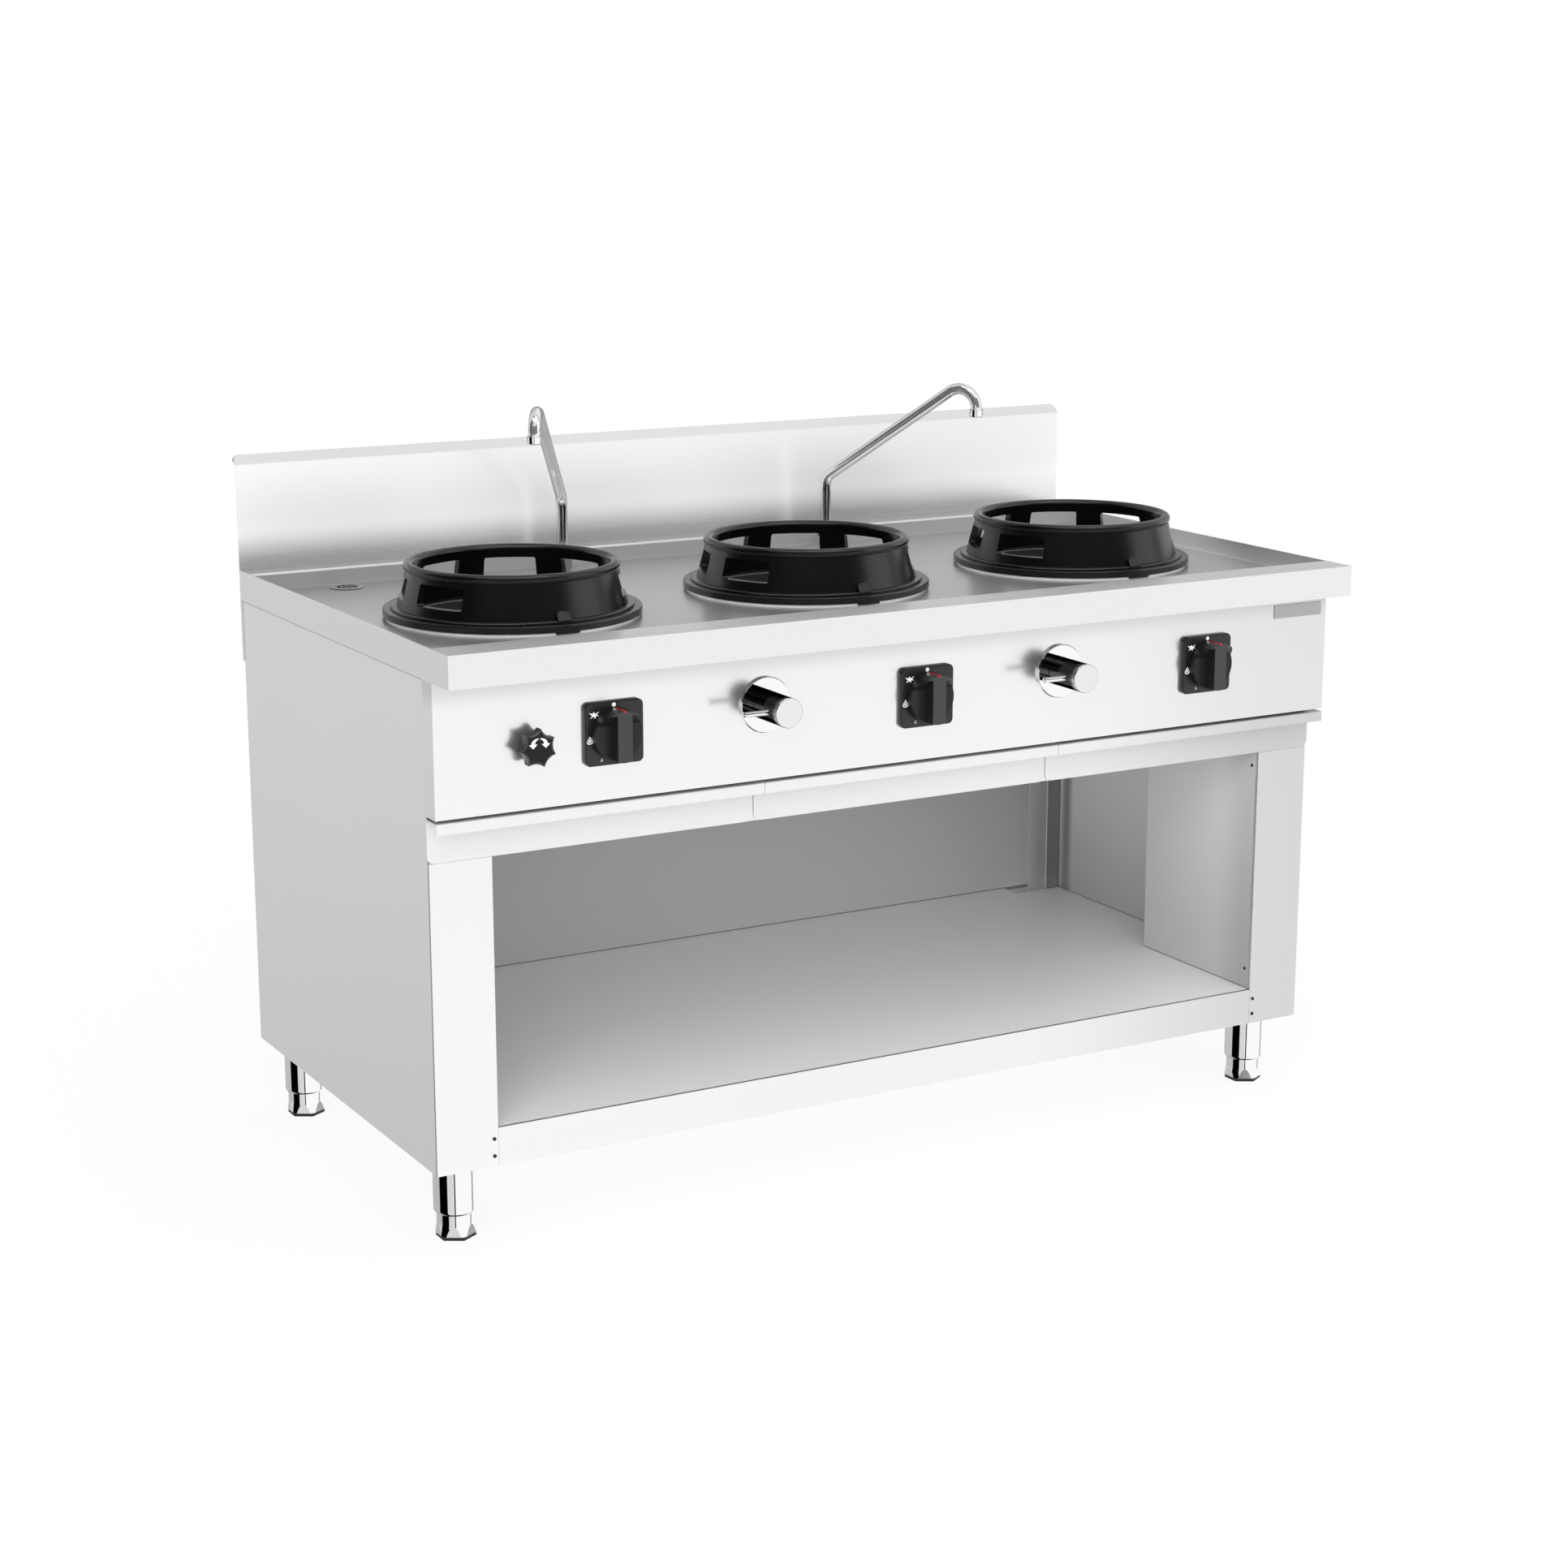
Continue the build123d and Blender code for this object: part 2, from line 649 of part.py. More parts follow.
with BuildPart() as lug:
    with BuildSketch(Plane.YZ):
        with BuildLine():
            lug_top = cone_foot + lug_height
            Polyline((-ring_foot - lug_reach, flange_top), (-ring_foot - lug_reach, cone_foot),
                     (-ring_foot, lug_top), (-ring_foot + ring_wall / 2, lug_top),
                     (-ring_foot + ring_wall / 2, flange_top), close=True)
        make_face()
    extrude(amount=lug_width / 2, both=True)
    with BuildSketch(Plane.XZ.offset(ring_foot - ring_wall)):
        with Locations((0, flange_top)):
            RectangleRounded(lug_width, 2 * (bead_height + lug_height), lug_round)
    extrude(amount=2 * ring_wall + lug_reach, mode=Mode.INTERSECT)

with BuildPart() as hook:
    with BuildSketch(Plane.XY.offset(seat - hook_drop)):
        Circle(ring_flange)
        Circle(collar_outer + 2 * gap, mode=Mode.SUBTRACT)
        with Locations((0, -ring_flange)):
            Rectangle(hook_width, hook_width, mode=Mode.INTERSECT)
    extrude(amount=hook_drop + ring_edge)

for name, (x, y) in zip(names, burners):
    with BuildPart() as ring:
        with BuildSketch(Plane(origin=(x, y, 0), x_dir=(1, 0, 0), z_dir=(0, -1, 0))):
            with BuildLine():
                flange = Polyline((ring_foot - ring_wall, cone_foot), (ring_foot - ring_wall, seat),
                                  (ring_flange, seat), (ring_flange, flange_top - ring_edge))
                flange_arc = RadiusArc(flange @ 1, (ring_flange - ring_edge, flange_top), -ring_edge)
                ledge = Polyline(flange_arc @ 1, (ring_bead, flange_top), (ring_bead, cone_foot - ring_edge))
                bead_arc = RadiusArc(ledge @ 1, (ring_bead - ring_edge, cone_foot), -ring_edge)
                cone = Polyline(bead_arc @ 1, (ring_foot, cone_foot), (ring_neck, neck))
                rim = ThreePointArc(cone @ 1, (ring_rim, neck + rim_bead / 2),
                                    (ring_rim - rim_shoulder, crown - rim_fall))
                mouth = ThreePointArc(rim @ 1, (ring_mouth + rim_shoulder, crown - 2 * rim_fall),
                                      (ring_mouth, crown - rim_bead / 2))
                Polyline(mouth @ 1, (ring_neck - ring_wall, neck), flange @ 0)
            make_face()
        revolve(axis=Axis((x, y, 0), (0, 0, 1)))
        with Locations((x, y, 0)):
            with PolarLocations(0, window_count, 90.0 - (window_count - 1) / 2 * window_pitch,
                                (window_count - 1) * window_pitch, endpoint=True):
                add(window.part, mode=Mode.SUBTRACT)
            add(lug.part)
            add(hook.part)
    save(ring.part, f"wok_ring_{name}")

# ---- Spouts -------------------------------------------------------------------------------------

with BuildPart() as spout_nuts:
    for x in (-spout_place, spout_place):
        with BuildSketch(Plane.XY.offset(pan_level)):
            with Locations((x, spout_y)):
                RegularPolygon(nut_radius, 6)
        extrude(amount=nut_height)
        rod((x, spout_y, pan_level), (x, spout_y, pan_level - shank_length), shank_radius)
        step_z = pan_level - shank_length + spout_step
        rod((x, spout_y, pan_level + nut_height), (x, spout_y, step_z - gap), spout_radius + fit,
            Mode.SUBTRACT)
        rod((x, spout_y, pan_level), (x, spout_y, pan_level - shank_length), spout_bore, Mode.SUBTRACT)
save(spout_nuts.part, "spout_nuts")

slope = radians(spout_slope)
run = spout_reach - crook_radius * (1 + sin(slope))
crest_z = spout_z + run * tan(slope)
crook_z = crest_z - crook_radius * cos(slope)
half_turn = (radians(90.0) - slope) / 2
for name, x, turn in (("left", -spout_place, left_spout_turn), ("right", spout_place, right_spout_turn)):
    out = Vector(cos(radians(turn)), sin(radians(turn)), 0)
    base = Vector(x, spout_y, 0)
    start = base + Vector(0, 0, step_z)
    crest = base + out * run + Vector(0, 0, crest_z)
    crook = base + out * (spout_reach - crook_radius) + Vector(0, 0, crook_z)
    over = crook + out * (crook_radius * sin(half_turn)) + Vector(0, 0, crook_radius * cos(half_turn))
    down = base + out * spout_reach + Vector(0, 0, crook_z)
    with BuildPart() as spout:
        with BuildLine() as route:
            FilletPolyline(start, base + Vector(0, 0, spout_z), crest, radius=bend_radius)
            ThreePointArc(crest, over, down)
        with BuildSketch(Plane(origin=start, z_dir=(0, 0, 1))):
            Circle(spout_radius)
            Circle(spout_bore, mode=Mode.SUBTRACT)
        sweep(path=route.line)
    save(spout.part, f"spout_{name}")

    with BuildPart() as nozzle:
        tip = down - Vector(0, 0, nozzle_length)
        rod(down, tip, nozzle_radius)
        fillet(nozzle.edges(), nozzle_edge)
        rod(tip + Vector(0, 0, nozzle_sink), tip, spout_bore, Mode.SUBTRACT)
    save(nozzle.part, f"nozzle_{name}")

# ---- Gas and water lines ------------------------------------------------------------------------

valve_back = valve_face + valve_depth
with BuildPart() as gas_valves:
    for x in gas_places:
        block((x - valve_size / 2, x + valve_size / 2), (valve_face, valve_back),
              (gas_z - valve_size / 2, gas_z + valve_size / 2))
        rod((x, valve_face, gas_z), (x, valve_face + valve_sink + push + gap, gas_z), stem_radius + fit,
            Mode.SUBTRACT)
save(gas_valves.part, "gas_valves")

with BuildPart() as gas_manifold:
    line_y = valve_face + valve_depth / 2
    line_z = gas_z - valve_size / 2 - manifold_radius
    inlet_x = side - inlet_side
    bent_tube([(gas_places[0] - manifold_end, line_y, line_z), (inlet_x, line_y, line_z),
               (inlet_x, line_y + 3 * manifold_bend, line_z), (inlet_x, line_y + 6 * manifold_bend, inlet_z),
               (inlet_x, rear, inlet_z)], manifold_radius, manifold_bend)
    rod((inlet_x, rear, inlet_z), (inlet_x, rear + outlet_stand, inlet_z), gas_thread)
save(gas_manifold.part, "gas_manifold")

with BuildPart() as gas_pipes:
    pipe_end = throat_end + throat_depth - pipe_short
    for (x, y), gas_x in zip(burners, gas_places):
        if abs(gas_x - x) < fit:
            rod((x, valve_back, gas_z), (x, pipe_end, gas_z), gas_pipe_radius)
        else:
            bent_tube([(gas_x, valve_back, gas_z), (gas_x, valve_back + pipe_bend, gas_z),
                       (x, throat_end - pipe_bend, gas_z), (x, pipe_end, gas_z)], gas_pipe_radius, pipe_bend)
save(gas_pipes.part, "gas_pipes")

pipe_y = valve_face + tap_valve_depth
with BuildPart() as water_valves:
    for x, z in ((-tap_place, tap_z), (tap_place, tap_z), (star_x, star_z)):
        rod((x, valve_face, z), (x, pipe_y, z), tap_valve_radius)
        rod((x, valve_face, z), (x, valve_face + valve_sink + gap, z), spindle_radius + fit, Mode.SUBTRACT)
save(water_valves.part, "water_valves")

with BuildPart() as water_pipes:
    for x, pipe_x in ((-tap_place, -spout_place), (tap_place, spout_place)):
        bent_tube([(x, pipe_y, tap_z), (x, pipe_y + 3 * pipe_bend, tap_z),
                   (pipe_x, pipe_y + 6 * pipe_bend, tap_z), (pipe_x, spout_y, tap_z),
                   (pipe_x, spout_y, pan_level - shank_length)], water_pipe_radius, pipe_bend)
save(water_pipes.part, "water_pipes")

with BuildPart() as water_inlet:
    feed_x = inlet_side - side
    bent_tube([(star_x, pipe_y, star_z), (star_x, pipe_y + 3 * pipe_bend, star_z),
               (feed_x, pipe_y + 8 * pipe_bend, inlet_z), (feed_x, rear, inlet_z)],
              feed_radius, 2 * pipe_bend)
    rod((feed_x, rear, inlet_z), (feed_x, rear + outlet_stand, inlet_z), water_thread)
save(water_inlet.part, "water_inlet")

with BuildPart() as drain_strainer:
    with Locations((drain_x, drain_y, pan_level + drain_sheet / 2)):
        Cylinder(drain_flange, drain_sheet)
        with PolarLocations(drain_circle, drain_holes):
            Hole(drain_hole)
        Hole(drain_hole)
save(drain_strainer.part, "drain_strainer")

with BuildPart() as drain_tail:
    neck_z = pan_under - drain_neck
    rod((drain_x, drain_y, pan_level), (drain_x, drain_y, neck_z), drain_radius - gap)
    bent_tube([(drain_x, drain_y, neck_z), (drain_x, drain_y, drain_z), (drain_x, rear, drain_z)],
              drain_pipe, drain_pipe * 2)
    rod((drain_x, rear, drain_z), (drain_x, rear + outlet_stand, drain_z), drain_thread)
save(drain_tail.part, "drain_tail")

# ---- Legs and fasteners -------------------------------------------------------------------------

sleeve_foot = body_level - sleeve_length
with BuildPart() as leg_tubes:
    for x, y in legs.values():
        with BuildSketch(Plane(origin=(x, y, 0), x_dir=(1, 0, 0), z_dir=(0, -1, 0))):
            with BuildLine():
                inner = foot_radius + fit
                shoulder = (leg_radius, sleeve_foot + sleeve_lip)
                RadiusArc((inner + sheet / 2, sleeve_foot), shoulder, -sleeve_lip)
                Polyline(shoulder, (leg_radius, body_level), (inner, body_level), (inner, sleeve_foot),
                         (inner + sheet / 2, sleeve_foot))
            make_face()
        revolve(axis=Axis((x, y, 0), (0, 0, 1)))
save(leg_tubes.part, "leg_tubes")

foot_top = sleeve_foot + foot_travel + foot_grip
flat_radius = foot_radius / cos(radians(30.0))
for name, (x, y) in legs.items():
    with BuildPart() as foot:
        with BuildSketch(Plane(origin=(x, y, 0), x_dir=(1, 0, 0), z_dir=(0, -1, 0))):
            with BuildLine():
                Polyline((0, pad_height), (foot_flare, pad_height), (foot_radius, foot_round),
                         (foot_radius, foot_top), (foot_radius - foot_wall, foot_top),
                         (foot_radius - foot_wall, pad_height + foot_wall), (0, pad_height + foot_wall),
                         close=True)
            make_face()
        revolve(axis=Axis((x, y, 0), (0, 0, 1)))
        with BuildSketch():
            with Locations((x, y)):
                RegularPolygon(flat_radius, 6, rotation=30)
        extrude(amount=foot_top, mode=Mode.INTERSECT)
    save(foot.part, f"foot_{name}")

    with BuildPart() as pad:
        for z, inset, height in ((0, 0, pad_lip), (pad_lip, pad_inset, pad_height - 2 * pad_lip),
                                 (pad_height - pad_lip, 0, pad_lip)):
            with BuildSketch(Plane.XY.offset(z)):
                with Locations((x, y)):
                    RegularPolygon(foot_flare - inset, 6, rotation=30)
            extrude(amount=height)
    save(pad.part, f"pad_{name}")

with BuildPart() as screws:
    low_z = body_level + shelf_height / 2 - screw_pitch / 2
    for hand in (-1, 1):
        for z in (low_z, low_z + screw_pitch):
            x = hand * (post_x + screw_inset)
            rod((x, body_y - screw_head, z), (x, body_y, z), screw_radius)
        for z in (band_level - wall_screw_top, shelf_level + wall_screw_foot):
            y = body_y + wall_screw_inset
            rod((hand * (post_x - screw_head), y, z), (hand * post_x, y, z), screw_radius)
        x = hand * (inner_side - angle_leg / 2)
        bolt_y = back_y - angle_sheet
        rod((x, bolt_y - bolt_head, band_level - bolt_drop), (x, bolt_y, band_level - bolt_drop), bolt_radius)
save(screws.part, "screws")
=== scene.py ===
"""Camera, studio, finishes and fine detail of a three-burner wok range, round its CAD frame."""

import math

import bmesh
import bpy
from mathutils import Matrix, Vector

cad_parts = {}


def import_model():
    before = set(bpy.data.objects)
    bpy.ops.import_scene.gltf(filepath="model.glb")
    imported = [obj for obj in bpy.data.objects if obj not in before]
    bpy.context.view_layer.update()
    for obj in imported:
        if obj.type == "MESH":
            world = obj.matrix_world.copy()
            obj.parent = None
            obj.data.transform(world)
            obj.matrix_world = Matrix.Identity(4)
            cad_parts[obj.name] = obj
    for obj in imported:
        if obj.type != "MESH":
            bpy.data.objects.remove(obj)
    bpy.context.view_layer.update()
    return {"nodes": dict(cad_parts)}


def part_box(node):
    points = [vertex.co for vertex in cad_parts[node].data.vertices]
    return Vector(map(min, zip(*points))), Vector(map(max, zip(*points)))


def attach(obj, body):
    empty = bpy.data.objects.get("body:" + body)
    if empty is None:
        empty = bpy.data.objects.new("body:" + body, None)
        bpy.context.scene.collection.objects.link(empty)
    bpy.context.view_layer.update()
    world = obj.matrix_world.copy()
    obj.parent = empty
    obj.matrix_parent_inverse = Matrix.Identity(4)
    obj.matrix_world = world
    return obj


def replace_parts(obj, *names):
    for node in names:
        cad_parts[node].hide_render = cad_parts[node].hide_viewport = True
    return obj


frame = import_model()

bl_info = {
    "name": "Wok range dress",
    "version": (1, 0, 0),
    "blender": (4, 5, 0),
    "location": "3D View > Sidebar > Wok Range",
    "description": "Builds the finishes, signs and fine parts of a wok range round its CAD frame",
    "category": "Object",
}

NODES = frame["nodes"]
SIDES = ("left", "middle", "right")
PAIR = ("left", "right")
MM = 0.001

# ---- Where the CAD frame puts things, in metres ----


def middle_of(node):
    """The middle of a CAD node's box."""
    low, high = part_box(node)
    return (low + high) / 2


TOP_LOW, TOP_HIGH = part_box("worktop")
RIM = TOP_HIGH.z
REAR_FOLD = TOP_HIGH.y - 45 * MM  # in front of the rear ledge
SPLASH_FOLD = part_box("splashback")[1].z - 14 * MM  # where the lip starts to lean back
SPOUT_BEND = RIM + 86 * MM
PANEL_LOW, PANEL_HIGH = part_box("control_panel")
PLATE_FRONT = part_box("gas_plates")[0].y
SHELF_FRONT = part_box("undershelf")[0].y
SHELF_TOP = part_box("undershelf")[1].z
POST_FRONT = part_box("post_left")[0].y
SIDE_LOW, SIDE_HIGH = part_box("side_panel_left")
RIGHT_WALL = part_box("side_panel_right")[0].x
BACK_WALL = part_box("back_panel")[0].y
ANGLE_SHADE = (325 * MM, 350 * MM)  # along the right wall, beside the rear angle
COLLAR_BORE = 180.5 * MM
BURNER_ROW = middle_of("burner_collars").y
BURNER_STEP = middle_of("wok_ring_right").x - middle_of("wok_ring_middle").x

KNOB_PLACES = [middle_of(f"gas_knob_{side}") for side in SIDES]
KNOB_LOW, KNOB_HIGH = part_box("gas_knob_left")
KNOB_RADIUS = (KNOB_HIGH.z - KNOB_LOW.z) / 2

STAR_LOW, STAR_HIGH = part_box("star_knob")
STAR_POINTS = 7
STAR_TURN = math.radians(82.0)
STAR_WAIST = 21 / 27  # of the tips' radius
STAR_TIPS = [STAR_TURN + math.tau * i / STAR_POINTS for i in range(STAR_POINTS)]
TIP_LEFT = min(map(math.cos, STAR_TIPS))
TIP_LOW, TIP_HIGH = min(map(math.sin, STAR_TIPS)), max(map(math.sin, STAR_TIPS))
STAR_RADIUS = (STAR_HIGH.z - STAR_LOW.z) / (TIP_HIGH - TIP_LOW)
STAR_CENTRE = Vector((STAR_LOW.x - STAR_RADIUS * TIP_LEFT, STAR_LOW.y, STAR_LOW.z - STAR_RADIUS * TIP_LOW))

# ---- Drawn outlines, across X and up Z, in millimetres ----

SPARK = ((-8, 3.6), (-2.2, 2.2), (-0.6, 4.8), (1.6, 1.8), (7.6, 4.6), (4.0, 0.6), (7.4, -1.6), (2.8, -1.2),
         (1.4, -4.8), (-0.6, -1.8), (-6.2, -4.2), (-3.0, -0.6))
ARROW = ((1.4, 15.2), (4.6, 15.0), (8.0, 13.6), (10.8, 11.0), (12.4, 8.0), (13.0, 4.2), (16.8, 4.2),
         (10.0, -4.0), (3.4, 4.2), (7.2, 4.2), (6.9, 7.4), (5.6, 10.2), (3.6, 12.4), (1.4, 13.7))
ARROW_SCALE = (0.93, 0.72)
ARROW_SHIFT = (0.6, 3.6)

# A button head of unit radius: each ring's radius and rise, then its hexagon socket
HEAD_RINGS = ((1.0, 0.0), (0.97, 0.22), (0.86, 0.4), (0.66, 0.52), (0.5, 0.55))
SOCKET_HALF = 0.36
SOCKET_RISES = (0.55, 0.15)

# ---- Studio ----

# What metal mirrors, by bearing from +X in degrees: middle, half width and soft edge
LEFT_WALL = (119.0, 50.0, 25.0)
LEFT_FOOT = (119.0, 40.0, 20.0)
REAR_WALL = (60.0, 30.0, 20.0)
CAMERA_SIDE = (224.0, 80.0, 10.0)
CEILING_BOX = (240.0, 60.0, 20.0)
# Flags over the full height: the same, and then how dark each is
FLAGS = ((183.0, 22.0, 4.0, 1.0), (222.0, 12.0, 8.0, 0.3), (245.5, 1.8, 3.0, 1.0), (350.0, 4.0, 4.0, 0.6))

# Name, place and size in metres, and power in watts
LAMPS = (("key", (-2.6, -3.4, 3.6), 2.2, 60.0), ("top", (0.4, -0.6, 3.4), 2.6, 45.0))
LAMP_AIM = Vector((0.0, 0.0, 0.7))

# ---- Plain colours ----

WHITE = (1.0, 1.0, 1.0)
BLACK = (0.01, 0.01, 0.01)
# Painted shade inside the burner collars, under the wok rings
INSIDE_SHADE = (0.02, 0.02, 0.02)
CHROME = (0.95, 0.95, 0.955)


# ---- Settings that a user would change ----


LENGTH = {"unit": "LENGTH"}
ANGLE = {"subtype": "ANGLE", "unit": "ROTATION"}
SHARE = {"subtype": "FACTOR", "min": 0.0, "max": 1.0}


def a_number(name, description, default, **kind):
    """A setting that is a number of one of the kinds above, or a plain one."""
    return bpy.props.FloatProperty(name=name, description=description, default=default, **kind)


def a_colour(name, description, *default):
    """A setting that is a colour."""
    return bpy.props.FloatVectorProperty(name=name, description=description, default=default, subtype="COLOR",
                                         min=0.0, max=1.0)


class StudioSettings(bpy.types.PropertyGroup):
    """Camera, floor and light."""

    eye: bpy.props.FloatVectorProperty(
        name="Camera place", description="Where the camera stands, in front of and left of the range",
        default=(-2.2322, -3.9073, 1.5819), subtype="TRANSLATION", unit="LENGTH")
    yaw: a_number("Camera turn", "Turn of the view to the right of straight ahead", 0.5143, **ANGLE)
    pitch: a_number("Camera dip", "How far the view points down", 0.2315, **ANGLE)
    lens: a_number("Lens", "Focal length on a 36 mm wide film, in millimetres", 68.32)
    floor_size: a_number("Floor size", "Width of the studio floor", 40.0, **LENGTH)
    floor_white: a_number("Floor white", "Share of plain white in the floor near the range", 0.88, **SHARE)
    fade_start: a_number("Floor fade start", "Distance at which the floor starts to whiten", 0.95, **LENGTH)
    fade_end: a_number("Floor fade end", "Distance at which the floor is plain white", 2.4, **LENGTH)
    upper_dim: a_number("Upper dimming", "How much darker the studio is above the camera", 0.96, **SHARE)
    ceiling_dim: a_number("Ceiling dimming", "How much darker the studio's ceiling is", 0.25, **SHARE)
    ceiling_band: a_number("Ceiling band", "Strength of the soft box that metal mirrors overhead", 3.0)
    fill: a_number("Soft fill", "Strength of the studio's even light on matt surfaces", 0.66)
    front_fill: a_number("Front fill", "Light added low in front, to reach into the cabinet", 2.5)
    left_dim: a_number("Left dimming", "How much darker the studio's rear left wall is", 0.3, **SHARE)
    left_low_dim: a_number("Low left dimming", "How much darker the foot of that wall is", 0.35, **SHARE)
    rear_dim: a_number("Rear dimming", "How much darker the low part of the rear wall is", 0.45, **SHARE)


class FinishSettings(bpy.types.PropertyGroup):
    """Colours and roughness of the finishes."""

    steel: a_colour("Sheet steel", "Colour of the satin stainless sheet", 0.89, 0.88, 0.887)
    steel_rough: a_number("Sheet roughness", "Roughness of the satin sheet", 0.38, **SHARE)
    # Painted shade: the pan is the worktop's own steel, painted grey
    pan: a_colour("Pan steel", "Colour of the sunken pan", 0.55, 0.55, 0.55)
    splash: a_colour("Splashback", "Colour of the splashback's upright face", 0.86, 0.845, 0.852)
    # Painted shade: the lip is the splashback's own steel, painted grey
    lip: a_colour("Splashback lip", "Colour of the lip that leans back", 0.5, 0.5, 0.5)
    # Painted light: the shelf's top is painted lighter than the sheet steel
    shelf: a_colour("Shelf", "Colour of the undershelf's top", 0.93, 0.92, 0.925)
    back: a_colour("Back sheet", "Colour of the cabinet's galvanised back", 0.47, 0.47, 0.47)
    iron: a_colour("Cast iron", "Colour of the satin black wok rings", 0.0012, 0.0012, 0.0013)
    plastic: a_colour("Black plastic", "Colour of the knobs and gas plates", 0.01, 0.01, 0.0105)
    pointer: a_colour("Pointer", "Colour of the line on each gas knob", 0.65, 0.003, 0.012)
    sign_white: a_colour("White signs", "Colour of the printed signs", 0.85, 0.85, 0.85)
    sign_grey: a_colour("Grey signs", "Colour of the small flame signs", 0.3, 0.3, 0.3)


class DetailSettings(bpy.types.PropertyGroup):
    """Sizes of the fine parts."""

    ink: a_number("Ink thickness", "How far a printed sign stands off its face", 0.12 * MM, **LENGTH)
    pointer_width: a_number("Pointer width", "Width of the line on each gas knob", 3.0 * MM, **LENGTH)
    screw_radius: a_number("Screw radius", "Radius of the dark button heads", 2.6 * MM, **LENGTH)
    bolt_radius: a_number("Bolt radius", "Radius of the bright heads in the rear angles", 3.6 * MM, **LENGTH)
    badge_width: a_number("Badge plate width", "Width of the bare plate on the panel", 92.0 * MM, **LENGTH)
    badge_height: a_number("Badge plate height", "Height of the bare plate on the panel", 21.0 * MM, **LENGTH)
    badge_place: bpy.props.FloatVectorProperty(
        name="Badge plate place", description="Middle of the bare plate across the panel and up", size=2,
        default=(0.694, 0.788), unit="LENGTH")


# ---- Node trees written as expressions ----


class Wire:
    """An output socket of a node tree, so that sums and products can be written plainly."""

    def __init__(self, tree, socket):
        self.tree = tree
        self.socket = socket

    def math(self, operation, *terms):
        return self.tree.node("ShaderNodeMath", {"operation": operation}, dict(enumerate(terms)))

    def __add__(self, other):
        return self.math("ADD", self, other)

    def __sub__(self, other):
        return self.math("SUBTRACT", self, other)

    def __rsub__(self, other):
        return self.math("SUBTRACT", other, self)

    def __mul__(self, other):
        return self.math("MULTIPLY", self, other)

    def __truediv__(self, other):
        return self.math("DIVIDE", self, other)

    def __rtruediv__(self, other):
        return self.math("DIVIDE", other, self)

    __radd__ = __add__
    __rmul__ = __mul__

    def ramp(self, start, end):
        """0 before start, 1 after end and smooth between them."""
        return self.tree.node(
            "ShaderNodeMapRange", {"interpolation_type": "SMOOTHSTEP"},
            {"Value": self, "From Min": start, "From Max": end})


class Tree:
    """A node tree under construction."""

    def __init__(self, nodes):
        self.nodes = nodes
        self.nodes.nodes.clear()

    def node(self, kind, settings=None, inputs=None, output=0):
        """One node with its settings made first, and its sockets then given values or wires."""
        made = self.nodes.nodes.new(kind)
        for key, value in (settings or {}).items():
            setattr(made, key, value)
        for key, value in (inputs or {}).items():
            socket = made.inputs[key]
            if isinstance(value, Wire):
                self.nodes.links.new(value.socket, socket)
            elif isinstance(value, tuple) and len(value) < len(socket.default_value):
                socket.default_value = (*value, 1.0)
            else:
                socket.default_value = value
        return Wire(self, made.outputs[output])


class Finish(Tree):
    """The shader of a material or of the world."""

    def __init__(self, owner):
        owner.use_nodes = True
        super().__init__(owner.node_tree)

    def place(self, kind="Object"):
        """A point or direction as one vector and three numbers."""
        point = self.node("ShaderNodeTexCoord", output=kind)
        split = self.node("ShaderNodeSeparateXYZ", inputs={0: point}).socket.node
        return point, *[Wire(self, socket) for socket in split.outputs]

    def noise(self, point, scale, detail, stretch=(1.0, 1.0, 1.0)):
        """Noise between 0 and 1, drawn out along an axis by a small stretch there."""
        mapped = self.node("ShaderNodeMapping", inputs={"Vector": point, "Scale": stretch})
        return self.node("ShaderNodeTexNoise", inputs={"Vector": mapped, "Scale": scale, "Detail": detail})

    def blend(self, factor, first, second):
        """A colour between two."""
        return self.node("ShaderNodeMix", {"data_type": "RGBA"}, {0: factor, 6: first, 7: second}, output=2)

    def bump(self, height, strength, distance):
        return self.node("ShaderNodeBump", inputs={
            "Height": height, "Strength": strength, "Distance": distance})

    def shade(self, **sockets):
        """The principled surface that ends a material."""
        self.end("ShaderNodeOutputMaterial", self.node("ShaderNodeBsdfPrincipled", inputs={
            key.replace("_", " ").title().replace("Ior", "IOR"): value for key, value in sockets.items()}))

    def end(self, kind, surface):
        self.nodes.links.new(surface.socket, self.nodes.nodes.new(kind).inputs["Surface"])


def new_finish(name):
    """The material of a name, its emptied shader, and a point as one vector and three numbers."""
    material = bpy.data.materials.get(name) or bpy.data.materials.new(name)
    finish = Finish(material)
    return material, finish, *finish.place()


def varied(value, x, y, z):
    """A plain number, or what a function makes of a point."""
    return value(x, y, z) if callable(value) else value


def distance(across, along):
    """How far a point is from one that lies two offsets away."""
    return across.math("SQRT", across * across + along * along)


def within(along, low, high, edge=3 * MM):
    """1 between two places along an axis, with soft edges."""
    return along.ramp(low - edge, low + edge) * (1.0 - along.ramp(high - edge, high + edge))


def line_on(along, low, high):
    """A thin soft line between two places along an axis."""
    return within(along, low, high, 0.4 * MM) * 0.75


def before(along, face):
    """1 on a thin sheet's face at a place along an axis, 0 on the face behind it."""
    return 1.0 - along.ramp(face + 0.3 * MM, face + 1.2 * MM)


def swatch(name):
    """A colour from the finish settings."""
    return tuple(getattr(bpy.context.scene.range_finish, name))


def darker(colour, share):
    return tuple(c * share for c in colour)


# ---- Finishes ----


